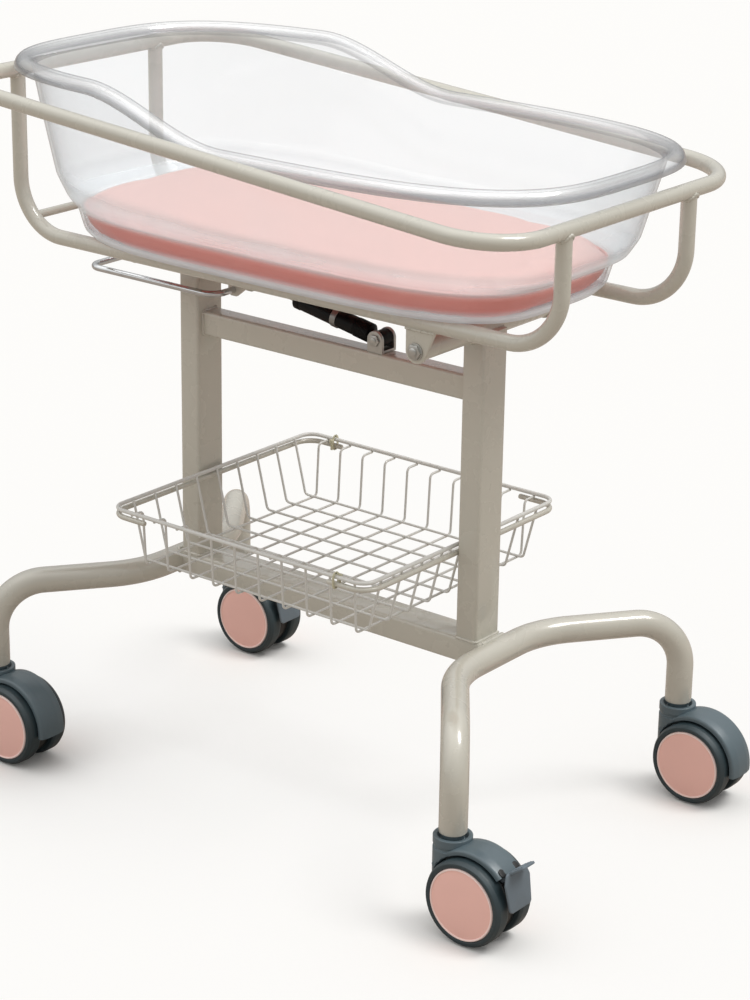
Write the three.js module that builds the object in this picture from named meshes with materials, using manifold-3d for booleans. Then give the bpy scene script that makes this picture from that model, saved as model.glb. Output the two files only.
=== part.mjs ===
// Hospital bassinet: a wheeled tube frame whose tilting cradle carries a clear tub and a mattress.
// Millimetres, +Z up. The head end is at -X, the foot end at +X, the left side at -Y.
// Places along X count from midway between the two uprights. At the end the whole is moved
// so that the origin lies on the floor under the middle of its outline.
import * as THREE from 'three';
import { mergeVertices } from 'three/addons/utils/BufferGeometryUtils.js';
import Module from 'manifold-3d';

const wasm = await Module();
wasm.setup();

// Clearances
const SEAT_GAP = 0.3; // between pieces that touch or are welded
const RUNNING_GAP = 1.0; // between wheels and the caster body
const LINK_PLAY = 2.2; // radial play of the rod eye, where the spring's linkage is left open
const OVERCUT = 1; // how far a cutting tool runs past the face that it opens

// Casters
const WHEEL_DIAMETER = 100;
const WHEEL_WIDTH = 21;
const WHEEL_EDGE = 3; // bevel of the tread's outer edge
const COVER_DIAMETER = 84;
const COVER_THICKNESS = 2.4;
const COVER_DOME = 1.4; // at its centre, beyond the wheel's face
const COVER_LIP = 3; // width of its rounded edge
const COVER_RIM = 0.5; // height of that edge
const AXLE_DIAMETER = 10;
const CASTER_TRAIL = 36; // from the swivel axis to the axle
const BODY_WIDTH = 20; // between the wheels
const HOOD_WIDTH = 40; // over the wheels' inner edges
const HOOD_RADIUS = 60;
const HOOD_FRONT = 150; // degrees, where the hood runs into the neck
const HOOD_REAR = -6; // degrees, the hood's lower end
const CORE_RADIUS = 44; // of the body's middle, below the hood
const NECK_DIAMETER = 44;
const NECK_TOP = 112;
const NECK_COLLAR = 9; // height of the rim on the neck
const NECK_GROOVE = 5; // height of the groove under the rim
const NECK_WAIST = 1.6; // depth of that groove
const NECK_BEVEL = 3; // round the rim's top
const NECK_FOOT = 8; // from the axle's height up to the neck's lower end
const STEM_DIAMETER = 24;
const STEM_LENGTH = 38; // above the neck, inside the leg tube
const CASTER_SIDES = 20;

// Brake pedal, in polar places round the axle
const PEDAL_HINGE_ANGLE = 44; // degrees; a braked caster's hood ends here
const PEDAL_HINGE_RADIUS = 52;
const PEDAL_HUB_RADIUS = 4;
const PEDAL_TOP_ANGLE = 45; // degrees
const PEDAL_TOP_STANDOFF = 6.5; // from the hood
const PEDAL_LOW_ANGLE = 3; // degrees
const PEDAL_LOW_STANDOFF = 5; // from the tread
const PEDAL_THICKNESS = 3;
const PEDAL_WIDTH = 44;
const PEDAL_ARM = [0.2, 0.34]; // shares of the plate's length between which the hub's arm meets it
const PEDAL_TAB = 22; // length of the raised toe tab
const PEDAL_TAB_RISE = 35; // degrees
const PEDAL_TAB_WIDTH = 28;

// Base
const LEG_TUBE_DIAMETER = 32;
const LEG_HEIGHT = 220; // centreline of the level run
const LEG_END_GAP = 3; // between the tube's end and the caster's neck
const LEG_BEND = 60;
const KINK_BEND = 120;
const STEM_X = 352;
const STEM_Y = 226;
const LEG_MIDDLE_X = 242;
const LEG_KINK_Y = 80;
const BASE_BEAM_WIDTH = 45;
const BASE_BEAM_HEIGHT = 30;
const UPRIGHT_X = 213;
const UPRIGHT_LENGTH = 30; // along X
const UPRIGHT_WIDTH = 45; // along Y
const UPPER_BEAM_DROP = 89; // from the cradle tubes' centreline down to its top
const UPPER_BEAM_HEIGHT = 30;
const UPPER_BEAM_WIDTH = 27;
const REST_PAD_THICKNESS = 8;

// Cradle
const RAIL_DIAMETER = 18;
const RAIL_HALF_LENGTH = 394; // to the centre of the end bars, measured level
const RAIL_HALF_WIDTH = 231;
const RAIL_CORNER = 75;
const RAIL_HEAD_HEIGHT = 833;
const RAIL_FOOT_HEIGHT = 769;
const CRADLE_TUBE_HEIGHT = 638;
const CRADLE_TUBE_Y = 119;
const CRADLE_BEND = 65;
const REST_TUBE_X = -UPRIGHT_X;
const LIFT_TUBE_X = -132;
const STAY_DIAMETER = 10;
const PIVOT_X = 208;
const PIVOT_DROP = 34; // from the cradle tubes' centreline down to the hinge
const PIVOT_TUBE_DIAMETER = 24;
const EAR_THICKNESS = 5;
const EAR_RADIUS = 14;
const EAR_LENGTH = 40; // where it is welded under the cradle tube
const HINGE_BOLT_DIAMETER = 10;
const HINGE_BOLT_REACH = 28; // into the pivot tube
const BOLT_HEAD_ACROSS = 17;
const BOLT_HEAD_HEIGHT = 6.5;

// Gas spring, its clevis and bracket, and the release lever
const CLEVIS_X = 66;
const CLEVIS_PIN_RISE = 15; // above the upper beam
const CLEVIS_PIN_DIAMETER = 8;
const CLEVIS_GAP = 18.6;
const PLATE_THICKNESS = 4;
const CLEVIS_RADIUS = 11;
const SPRING_EYE_WIDTH = 18;
const SPRING_DIAMETER = 22;
const SPRING_LENGTH = 128; // from the clevis pin to the front end of the cylinder
const SPRING_NECK_DIAMETER = 12; // between the eye and the cylinder
const SPRING_CHAMFER = 2;
const SPRING_COLLAR = 66; // from the clevis pin to the band round the cylinder
const SPRING_COLLAR_WIDTH = 8;
const SPRING_COLLAR_DEPTH = 1;
const SPRING_ROD_DIAMETER = 10;
const SPRING_ROD_DEPTH = 66; // of the rod inside the cylinder at rest
const BRACKET_PIN_X = -127;
const BRACKET_PIN_DROP = 38; // below the cradle tubes' centreline
const BRACKET_GAP = 24; // between the plates
const BRACKET_LENGTH = 46;
const ROD_EYE_DIAMETER = 20;
const ROD_EYE_WIDTH = 15;
const LOCK_NUT_LENGTH = 16;
const PIN_HEAD_SHARE = 1.7; // of the pin's diameter
const LEVER_DIAMETER = 8;
const LEVER_PIVOT_X = -146;
const LEVER_DROP = 52; // below the cradle tubes' centreline
const LEVER_END_X = -350;
const LEVER_HALF_WIDTH = 52;
const LEVER_BEND = 18;

// Basket
const BASKET_HALF_LENGTH = 192; // to the rim wire
const BASKET_HALF_WIDTH = 183;
const BASKET_RIM_RISE = 126; // above the legs' level run
const BASKET_DEPTH = 70;
const BASKET_CORNER = 18;
const BASKET_FLANGE = 20; // level reach of a side wire's top to the rim
const END_WALL_LEAN = 18; // how far an end wall leans out
const SIDE_WALL_LEAN = 4;
const RIM_WIRE = 5;
const GRID_WIRE = 3;
const WELD_DEPTH = 0.7; // how far two welded wires sink into each other
const GRID_TURN_IN = 7; // level reach of a wall wire's foot in over the floor
const GRID_BEND = 6;
const LENGTHWISE_WIRES = 9;
const CROSSWISE_WIRES = 10;
const CARRIER_DIAMETER = 6.5;
const CARRIER_ARM = 56; // along the basket's sides
const CARRIER_CORNER = 24;
const WIRE_SIDES = 4;

// Tub: a clear moulding with a well for the mattress and a rolled lip
const TUB_WALL = 3;
const TUB_SIDES = 44;
const TUB_RIM_HALF_LENGTH = 389; // to the crest of the lip
const TUB_RIM_HALF_WIDTH = 209;
const WALL_FOOT = { share: 0.16, taper: 0.72 }; // low on the wall: its height and its inset, as shares
const WALL_MIDDLE = { share: 0.55, taper: 0.42 };
const TUB_RIM_SQUARENESS = 3.5; // exponent of the rim's superellipse
const TUB_HEAD_RIM = 860;
const TUB_FOOT_RIM = 811;
const RIM_DROP_START = -195; // X where the rim starts to fall towards the foot
const RIM_DROP_END = 5;
const LIP_REACH = 10; // outwards from the crest
const LIP_DROP = 15;
const WALL_TOP_INSET = 7; // inwards from the crest to the wall under the lip
const WALL_TAPER = 40; // inwards from the crest to the ledge
const WELL_HALF_LENGTH = 328;
const WELL_HALF_WIDTH = 166;
const WELL_SQUARENESS = 3.8;
const WELL_DEPTH = 36;
const WELL_TAPER = 7;
const LEDGE_RISE = 9;
const FLOOR_ROUND = 8;

// Mattress
const MATTRESS_CLEARANCE = 1.5;
const MATTRESS_THICKNESS = 44;
const MATTRESS_CROWN = 7;
const MATTRESS_DRAW_IN = 4; // of its sides, at mid height
const MATTRESS_EDGE = 10; // width of the rounded edge, where the crown starts
const MATTRESS_CROWN_REACH = 0.8; // share of the half width over which the crown rises
const MATTRESS_CROWN_RINGS = 4;
const MATTRESS_SIDES = 36;
// Heights up its side, as shares of the thickness
const MATTRESS_FLANK = { foot: 0.1, bulge: 0.3, waist: 0.55, shoulder: 0.78, edge: 0.9 };

// Heights that follow from the sizes above
const UPPER_BEAM_TOP = CRADLE_TUBE_HEIGHT - UPPER_BEAM_DROP;
const PIVOT_HEIGHT = CRADLE_TUBE_HEIGHT - PIVOT_DROP;
const CLEVIS_PIN_HEIGHT = UPPER_BEAM_TOP + CLEVIS_PIN_RISE;
const BRACKET_PIN_HEIGHT = CRADLE_TUBE_HEIGHT - BRACKET_PIN_DROP;
const LEVER_HEIGHT = CRADLE_TUBE_HEIGHT - LEVER_DROP;
const BASKET_RIM_HEIGHT = LEG_HEIGHT + BASKET_RIM_RISE;

const finish = (color, roughness, metalness) => ({ color, roughness, metalness });
const PAINT = finish(0xd8d5c8, 0.35, 0);
const SLATE = finish(0x59656a, 0.5, 0);
const TYRE = finish(0x3d474a, 0.65, 0);
const PINK = finish(0xdba195, 0.45, 0);
const STEEL = finish(0xbfc0c0, 0.25, 1);
const BLACK = finish(0x141416, 0.4, 0);
const CHROME = finish(0xd2d4d6, 0.12, 1);
const WIRE = finish(0xd3d3cf, 0.4, 0);
const CLEAR = finish(0xdfe6ec, 0.08, 0);
const SALMON = finish(0xf0bab0, 0.85, 0);

const vec = (x, y, z) => new THREE.Vector3(x, y, z);
const radians = THREE.MathUtils.degToRad;
const range = (count) => Array.from({ length: count }, (_, i) => i);

// Solids and booleans

// Turns a closed geometry into a solid that can be joined and cut.
function solid(geometry) {
  const bare = geometry.clone();
  bare.deleteAttribute('normal');
  bare.deleteAttribute('uv');
  const merged = mergeVertices(bare, 1e-4);
  return new wasm.Manifold(new wasm.Mesh({
    numProp: 3,
    vertProperties: new Float32Array(merged.attributes.position.array),
    triVerts: new Uint32Array(merged.index.array),
  }));
}

// Turns a solid back into a geometry.
function surface(manifold) {
  const { vertProperties, triVerts } = manifold.getMesh();
  const geometry = new THREE.BufferGeometry();
  geometry.setAttribute('position', new THREE.BufferAttribute(vertProperties, 3));
  geometry.setIndex(new THREE.BufferAttribute(triVerts, 1));
  geometry.computeVertexNormals();
  return geometry;
}

function fuse(...geometries) {
  return surface(geometries.map(solid).reduce((all, next) => all.add(next)));
}

function cut(geometry, ...tools) {
  return surface(tools.map(solid).reduce((left, tool) => left.subtract(tool), solid(geometry)));
}

// Basic forms

function box(from, to) {
  const size = to.clone().sub(from);
  const centre = from.clone().add(to).multiplyScalar(0.5);
  return new THREE.BoxGeometry(size.x, size.y, size.z).translate(centre.x, centre.y, centre.z);
}

// A cylinder along Y between two values of y, with a flat facing down.
function crossRod(diameter, x, z, y0, y1, sides = 16) {
  return new THREE.CylinderGeometry(diameter / 2, diameter / 2, y1 - y0, sides, 1, false, Math.PI / sides)
    .translate(x, (y0 + y1) / 2, z);
}

function lengthRod(diameter, y, z, x0, x1, sides = 12) {
  return new THREE.CylinderGeometry(diameter / 2, diameter / 2, x1 - x0, sides)
    .rotateZ(Math.PI / 2)
    .translate((x0 + x1) / 2, y, z);
}

function post(diameter, x, y, z0, z1, sides = 20) {
  return new THREE.CylinderGeometry(diameter / 2, diameter / 2, z1 - z0, sides)
    .rotateX(Math.PI / 2)
    .translate(x, y, (z0 + z1) / 2);
}

// A revolve about Y. Each profile point is [radius, y], and the profile closes on itself or on the axis.
function revolve(profile, sides = CASTER_SIDES) {
  const points = profile.map(([radius, y]) => new THREE.Vector2(radius, y));
  return new THREE.LatheGeometry(points, sides, Math.PI / sides);
}

// A plate with its outline in the XZ plane, between two values of y.
function plate(shape, y0, y1, curveSegments = 8) {
  return new THREE.ExtrudeGeometry(shape, { depth: y1 - y0, bevelEnabled: false, curveSegments })
    .rotateX(Math.PI / 2)
    .translate(0, y1, 0);
}

// A bent rod's centreline: straight runs between corners that are rounded to a bend radius.
class RodPath extends THREE.Curve {
  constructor(corners, bends, closed = false, step = 18) {
    super();
    this.closedRing = closed;
    this.stations = [];
    const count = corners.length;
    const last = closed ? count : count - 1;
    const radiusAt = (i) => (Array.isArray(bends) ? bends[i - 1] : bends);
    if (!closed) this.addStation(corners[0], corners[1].clone().sub(corners[0]).normalize());
    for (let i = closed ? 0 : 1; i < last; i += 1) {
      this.addBend(corners[(i + count - 1) % count], corners[i], corners[(i + 1) % count],
        closed ? bends : radiusAt(i), radians(step));
    }
    const before = corners[count - 2];
    if (closed) this.stations.push(this.stations[0]);
    else this.addStation(corners[count - 1], corners[count - 1].clone().sub(before).normalize());
  }

  addStation(point, tangent) {
    this.stations.push({ point: point.clone(), tangent });
  }

  addBend(from, corner, to, radius, step) {
    const inward = corner.clone().sub(from).normalize();
    const outward = to.clone().sub(corner).normalize();
    const angle = inward.angleTo(outward);
    const setback = radius * Math.tan(angle / 2);
    const start = corner.clone().addScaledVector(inward, -setback);
    const axis = inward.clone().cross(outward).normalize();
    const centre = start.clone().addScaledVector(axis.clone().cross(inward), radius);
    const steps = Math.max(2, Math.round(angle / step));
    for (const i of range(steps + 1)) {
      const turn = (angle * i) / steps;
      const arm = start.clone().sub(centre).applyAxisAngle(axis, turn);
      this.addStation(centre.clone().add(arm), inward.clone().applyAxisAngle(axis, turn));
    }
  }

  getSpacedPoints() {
    return this.stations.map(({ point }) => point.clone());
  }

  getTangentAt(share, target = new THREE.Vector3()) {
    return target.copy(this.stations[Math.round(share * (this.stations.length - 1))].tangent);
  }
}

// A round rod along a path. A closed ring keeps only the side faces, which meet at its start.
function rod(path, diameter, sides = 10) {
  const section = range(sides).map((i) => {
    const angle = (2 * Math.PI * i) / sides;
    return new THREE.Vector2(Math.cos(angle), Math.sin(angle)).multiplyScalar(diameter / 2);
  });
  const geometry = new THREE.ExtrudeGeometry(new THREE.Shape(section), {
    steps: path.stations.length - 1, extrudePath: path,
  });
  if (!path.closedRing) return geometry;
  const side = geometry.groups[1];
  const ring = new THREE.BufferGeometry();
  const all = geometry.attributes.position.array;
  ring.setAttribute('position', new THREE.BufferAttribute(
    all.slice(side.start * 3, (side.start + side.count) * 3), 3));
  return mergeVertices(ring, 1e-3);
}

// Skins a stack of rings, from the centre of the first ring to the centre of the last.
function loft(rings) {
  const around = rings[0].length;
  const centre = (ring) => ring.reduce((sum, p) => sum.add(p), vec(0, 0, 0)).divideScalar(around);
  const points = [...rings.flat(), centre(rings[0]), centre(rings[rings.length - 1])];
  const first = points.length - 2;
  const faces = [];
  for (const j of range(around)) {
    const k = (j + 1) % around;
    faces.push(first, k, j);
    for (const i of range(rings.length - 1)) {
      const low = i * around;
      const high = low + around;
      faces.push(low + j, low + k, high + k, low + j, high + k, high + j);
    }
    const top = (rings.length - 1) * around;
    faces.push(first + 1, top + j, top + k);
  }
  const geometry = new THREE.BufferGeometry().setFromPoints(points);
  geometry.setIndex(faces);
  return geometry;
}

const assembly = new THREE.Group();

function add(name, geometry, look, parent = assembly) {
  if (!geometry.attributes.normal) geometry.computeVertexNormals();
  const mesh = new THREE.Mesh(geometry, new THREE.MeshStandardMaterial(look));
  mesh.name = name;
  parent.add(mesh);
}

// Base: leg tubes, beams and uprights

const CASTER_TOP = NECK_TOP + LEG_END_GAP;
const BEAM_TOP = LEG_HEIGHT + BASE_BEAM_HEIGHT / 2;
const RAIL_RADIUS = RAIL_DIAMETER / 2;
const CRADLE_UNDERSIDE = CRADLE_TUBE_HEIGHT - RAIL_RADIUS;

function legTube(end) {
  const corner = (x, y, z) => vec(end * x, y, z);
  const path = new RodPath([
    corner(STEM_X, -STEM_Y, CASTER_TOP),
    corner(STEM_X, -STEM_Y, LEG_HEIGHT),
    corner(LEG_MIDDLE_X, -LEG_KINK_Y, LEG_HEIGHT),
    corner(LEG_MIDDLE_X, LEG_KINK_Y, LEG_HEIGHT),
    corner(STEM_X, STEM_Y, LEG_HEIGHT),
    corner(STEM_X, STEM_Y, CASTER_TOP),
  ], [LEG_BEND, KINK_BEND, KINK_BEND, LEG_BEND], false, 18);
  const socket = (y) => post(STEM_DIAMETER + 2 * SEAT_GAP, end * STEM_X, y,
    CASTER_TOP - OVERCUT, NECK_TOP + STEM_LENGTH + SEAT_GAP);
  return cut(rod(path, LEG_TUBE_DIAMETER, 12), socket(-STEM_Y), socket(STEM_Y));
}

function baseBeam() {
  const half = vec(LEG_MIDDLE_X - LEG_TUBE_DIAMETER / 4, BASE_BEAM_WIDTH / 2, BASE_BEAM_HEIGHT / 2);
  const bar = box(half.clone().negate(), half).translate(0, 0, LEG_HEIGHT);
  const cope = (x) => crossRod(LEG_TUBE_DIAMETER + 2 * SEAT_GAP, x, LEG_HEIGHT,
    -BASE_BEAM_WIDTH, BASE_BEAM_WIDTH, 28);
  return cut(bar, cope(-LEG_MIDDLE_X), cope(LEG_MIDDLE_X));
}

function upright(x, top) {
  const half = vec(UPRIGHT_LENGTH / 2, UPRIGHT_WIDTH / 2, 0);
  return box(vec(x - half.x, -half.y, BEAM_TOP + SEAT_GAP), vec(x + half.x, half.y, top));
}

function addBase() {
  const bore = HINGE_BOLT_DIAMETER + 2 * SEAT_GAP;
  const pivotEnd = CRADLE_TUBE_Y - EAR_THICKNESS / 2 - SEAT_GAP;
  const padTop = CRADLE_UNDERSIDE - SEAT_GAP;
  const padBottom = padTop - REST_PAD_THICKNESS;
  const inside = UPRIGHT_X - UPRIGHT_LENGTH / 2 - SEAT_GAP;
  add('base_beam', baseBeam(), PAINT);
  add('head_leg_tube', legTube(-1), PAINT);
  add('foot_leg_tube', legTube(1), PAINT);
  add('head_upright', upright(-UPRIGHT_X, padBottom - SEAT_GAP), PAINT);
  add('foot_upright', cut(upright(UPRIGHT_X, PIVOT_HEIGHT),
    crossRod(PIVOT_TUBE_DIAMETER + 2 * SEAT_GAP, PIVOT_X, PIVOT_HEIGHT,
      -UPRIGHT_WIDTH, UPRIGHT_WIDTH, 24)), PAINT);
  add('upper_beam', box(vec(-inside, -UPPER_BEAM_WIDTH / 2, UPPER_BEAM_TOP - UPPER_BEAM_HEIGHT),
    vec(inside, UPPER_BEAM_WIDTH / 2, UPPER_BEAM_TOP)), PAINT);
  add('pivot_tube', cut(
    crossRod(PIVOT_TUBE_DIAMETER, PIVOT_X, PIVOT_HEIGHT, -pivotEnd, pivotEnd, 24),
    ...[-1, 1].map((side) => crossRod(bore, PIVOT_X, PIVOT_HEIGHT,
      side * pivotEnd - HINGE_BOLT_REACH - SEAT_GAP, side * pivotEnd + HINGE_BOLT_REACH + SEAT_GAP))), PAINT);
  const pad = vec(UPRIGHT_LENGTH / 2, UPRIGHT_WIDTH / 2, 0);
  add('rest_pad', box(vec(-UPRIGHT_X - pad.x, -pad.y, padBottom),
    vec(-UPRIGHT_X + pad.x, pad.y, padTop)), BLACK);
}

// Cradle: top rail, cradle tubes, cross tubes and hinge

const RAIL_SLOPE = Math.atan((RAIL_HEAD_HEIGHT - RAIL_FOOT_HEIGHT) / (2 * RAIL_HALF_LENGTH));
const RAIL_MIDDLE = (RAIL_HEAD_HEIGHT + RAIL_FOOT_HEIGHT) / 2;

function topRail() {
  const x = RAIL_HALF_LENGTH / Math.cos(RAIL_SLOPE);
  const y = RAIL_HALF_WIDTH;
  const path = new RodPath([vec(-x, -y, 0), vec(x, -y, 0), vec(x, y, 0), vec(-x, y, 0)],
    RAIL_CORNER, true, 15);
  return rod(path, RAIL_DIAMETER, 10).rotateY(RAIL_SLOPE).translate(0, 0, RAIL_MIDDLE);
}

// A tool that shapes a tube's end to the round of the tube that it is welded to.
function copeAcross(x, z) {
  return crossRod(RAIL_DIAMETER + 2 * SEAT_GAP, x, z, -RAIL_HALF_WIDTH, RAIL_HALF_WIDTH, 20);
}

function copeAlong(y) {
  return lengthRod(RAIL_DIAMETER + 2 * SEAT_GAP, y, CRADLE_TUBE_HEIGHT,
    -RAIL_HALF_LENGTH, RAIL_HALF_LENGTH, 20);
}

function cradleTube(side) {
  const y = side * CRADLE_TUBE_Y;
  const x = RAIL_HALF_LENGTH;
  const path = new RodPath([
    vec(-x, y, RAIL_HEAD_HEIGHT), vec(-x, y, CRADLE_TUBE_HEIGHT),
    vec(x, y, CRADLE_TUBE_HEIGHT), vec(x, y, RAIL_FOOT_HEIGHT),
  ], CRADLE_BEND, false, 18);
  const above = (end, z) => box(vec(end * x - RAIL_DIAMETER, y - RAIL_DIAMETER, z),
    vec(end * x + RAIL_DIAMETER, y + RAIL_DIAMETER, z + RAIL_DIAMETER));
  return cut(rod(path, RAIL_DIAMETER, 10),
    copeAcross(-x, RAIL_HEAD_HEIGHT), copeAcross(x, RAIL_FOOT_HEIGHT),
    above(-1, RAIL_HEAD_HEIGHT - RAIL_RADIUS / 2), above(1, RAIL_FOOT_HEIGHT - RAIL_RADIUS / 2));
}

function crossTube(x) {
  const end = CRADLE_TUBE_Y - RAIL_RADIUS / 4;
  return cut(crossRod(RAIL_DIAMETER, x, CRADLE_TUBE_HEIGHT, -end, end, 12),
    copeAlong(-CRADLE_TUBE_Y), copeAlong(CRADLE_TUBE_Y));
}

// The thin stay that joins the two cradle tubes halfway round their head bends.
function headStay() {
  const reach = CRADLE_BEND * Math.SQRT1_2;
  const end = CRADLE_TUBE_Y - RAIL_RADIUS - SEAT_GAP;
  return crossRod(STAY_DIAMETER, -RAIL_HALF_LENGTH + CRADLE_BEND - reach,
    CRADLE_TUBE_HEIGHT + CRADLE_BEND - reach, -end, end, 10);
}

function hingeEar(side) {
  const y = side * CRADLE_TUBE_Y;
  const left = PIVOT_X - EAR_RADIUS;
  const shape = new THREE.Shape();
  shape.moveTo(left, CRADLE_TUBE_HEIGHT);
  shape.lineTo(left, PIVOT_HEIGHT);
  shape.absarc(PIVOT_X, PIVOT_HEIGHT, EAR_RADIUS, Math.PI, (7 / 4) * Math.PI, false);
  shape.lineTo(left + EAR_LENGTH, CRADLE_UNDERSIDE);
  shape.lineTo(left + EAR_LENGTH, CRADLE_TUBE_HEIGHT);
  const blank = plate(shape, y - EAR_THICKNESS / 2, y + EAR_THICKNESS / 2);
  return cut(blank, copeAlong(y),
    crossRod(HINGE_BOLT_DIAMETER + 2 * SEAT_GAP, PIVOT_X, PIVOT_HEIGHT, y - EAR_LENGTH, y + EAR_LENGTH));
}

// A hex bolt along Y whose head sits outside the ear.
function hingeBolt(side) {
  const seat = CRADLE_TUBE_Y + EAR_THICKNESS / 2 + SEAT_GAP;
  const tip = CRADLE_TUBE_Y - EAR_THICKNESS / 2 - SEAT_GAP - HINGE_BOLT_REACH;
  const head = BOLT_HEAD_ACROSS / Math.cos(Math.PI / 6);
  const span = (diameter, from, to, sides) => crossRod(diameter, PIVOT_X, PIVOT_HEIGHT,
    Math.min(side * from, side * to), Math.max(side * from, side * to), sides);
  return fuse(span(head, seat, seat + BOLT_HEAD_HEIGHT, 6),
    span(HINGE_BOLT_DIAMETER, tip, seat + OVERCUT, 16));
}

function addCradle() {
  add('top_rail', topRail(), PAINT);
  add('rest_cross_tube', crossTube(REST_TUBE_X), PAINT);
  add('lift_cross_tube', crossTube(LIFT_TUBE_X), PAINT);
  add('head_stay', headStay(), PAINT);
  for (const [name, side] of [['left', -1], ['right', 1]]) {
    add(`${name}_cradle_tube`, cradleTube(side), PAINT);
    add(`${name}_hinge_ear`, hingeEar(side), PAINT);
    add(`${name}_hinge_bolt`, hingeBolt(side), STEEL);
  }
}

// Gas spring and release lever

const SPRING_SPAN = Math.hypot(CLEVIS_X - BRACKET_PIN_X, BRACKET_PIN_HEIGHT - CLEVIS_PIN_HEIGHT);
const SPRING_RISE = Math.atan2(BRACKET_PIN_HEIGHT - CLEVIS_PIN_HEIGHT, CLEVIS_X - BRACKET_PIN_X);

function springClevis() {
  const bottom = UPPER_BEAM_TOP + SEAT_GAP;
  const outside = CLEVIS_GAP / 2 + PLATE_THICKNESS;
  const shape = new THREE.Shape();
  shape.moveTo(CLEVIS_X - CLEVIS_RADIUS, bottom);
  shape.absarc(CLEVIS_X, CLEVIS_PIN_HEIGHT, CLEVIS_RADIUS, Math.PI, 0, true);
  shape.lineTo(CLEVIS_X + CLEVIS_RADIUS, bottom);
  const eyeRoom = CLEVIS_PIN_HEIGHT - CLEVIS_RADIUS;
  const slot = box(vec(CLEVIS_X - 2 * CLEVIS_RADIUS, -CLEVIS_GAP / 2, eyeRoom),
    vec(CLEVIS_X + 2 * CLEVIS_RADIUS, CLEVIS_GAP / 2, eyeRoom + 4 * CLEVIS_RADIUS));
  const hole = crossRod(CLEVIS_PIN_DIAMETER + 2 * SEAT_GAP, CLEVIS_X, CLEVIS_PIN_HEIGHT,
    -2 * outside, 2 * outside, 16);
  return cut(plate(shape, -outside, outside), slot, hole);
}

// A headed pin along Y through two plates.
function headedPin(diameter, x, z, halfSpan) {
  const head = diameter * PIN_HEAD_SHARE;
  const tail = halfSpan + SEAT_GAP;
  return fuse(
    crossRod(diameter, x, z, -tail - OVERCUT, tail + OVERCUT, 12),
    crossRod(head, x, z, -tail - diameter / 2, -tail, 6),
    crossRod(head, x, z, tail, tail + diameter / 2, 6));
}

// The spring is drawn along +X from the clevis pin and then turned to point at the bracket pin.
function springGroup() {
  const group = new THREE.Group();
  group.position.set(CLEVIS_X, 0, CLEVIS_PIN_HEIGHT);
  group.rotation.set(0, SPRING_RISE - Math.PI, 0);
  assembly.add(group);
  return group;
}

function springCylinder() {
  const eyeRadius = CLEVIS_RADIUS - OVERCUT;
  const eye = crossRod(2 * eyeRadius, 0, 0, -SPRING_EYE_WIDTH / 2, SPRING_EYE_WIDTH / 2, 18);
  const radius = SPRING_DIAMETER / 2;
  const neck = SPRING_NECK_DIAMETER / 2;
  const start = CLEVIS_RADIUS + SPRING_CHAMFER;
  const collar = radius + SPRING_COLLAR_DEPTH;
  const collarStart = SPRING_COLLAR - SPRING_COLLAR_WIDTH / 2;
  const collarEnd = SPRING_COLLAR + SPRING_COLLAR_WIDTH / 2;
  const profile = [[0, eyeRadius / 2], [neck, eyeRadius / 2], [neck, start], [radius, start + SPRING_CHAMFER],
    [radius, collarStart], [collar, collarStart], [collar, collarEnd], [radius, collarEnd],
    [radius, SPRING_LENGTH - SPRING_CHAMFER], [radius - SPRING_CHAMFER, SPRING_LENGTH], [0, SPRING_LENGTH]];
  const body = revolve(profile, 16).rotateZ(-Math.PI / 2);
  const bore = lengthRod(SPRING_ROD_DIAMETER + 2 * SEAT_GAP, 0, 0,
    SPRING_LENGTH - SPRING_ROD_DEPTH - SEAT_GAP, SPRING_LENGTH + OVERCUT, 14);
  const pinHole = crossRod(CLEVIS_PIN_DIAMETER + 2 * SEAT_GAP, 0, 0,
    -SPRING_EYE_WIDTH, SPRING_EYE_WIDTH, 16);
  return cut(fuse(eye, body), bore, pinHole);
}

function springRod() {
  const neck = SPRING_SPAN - ROD_EYE_DIAMETER / 2 + LINK_PLAY;
  const eye = crossRod(ROD_EYE_DIAMETER, SPRING_SPAN, 0, -ROD_EYE_WIDTH / 2, ROD_EYE_WIDTH / 2, 18);
  const shaft = lengthRod(SPRING_ROD_DIAMETER, 0, 0, SPRING_LENGTH - SPRING_ROD_DEPTH, neck, 14);
  const lockNut = lengthRod(ROD_EYE_WIDTH, 0, 0, neck - LOCK_NUT_LENGTH, neck, 6);
  const hole = crossRod(CLEVIS_PIN_DIAMETER + 2 * LINK_PLAY, SPRING_SPAN, 0,
    -ROD_EYE_WIDTH, ROD_EYE_WIDTH, 16);
  return cut(fuse(eye, shaft, lockNut), hole);
}

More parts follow.
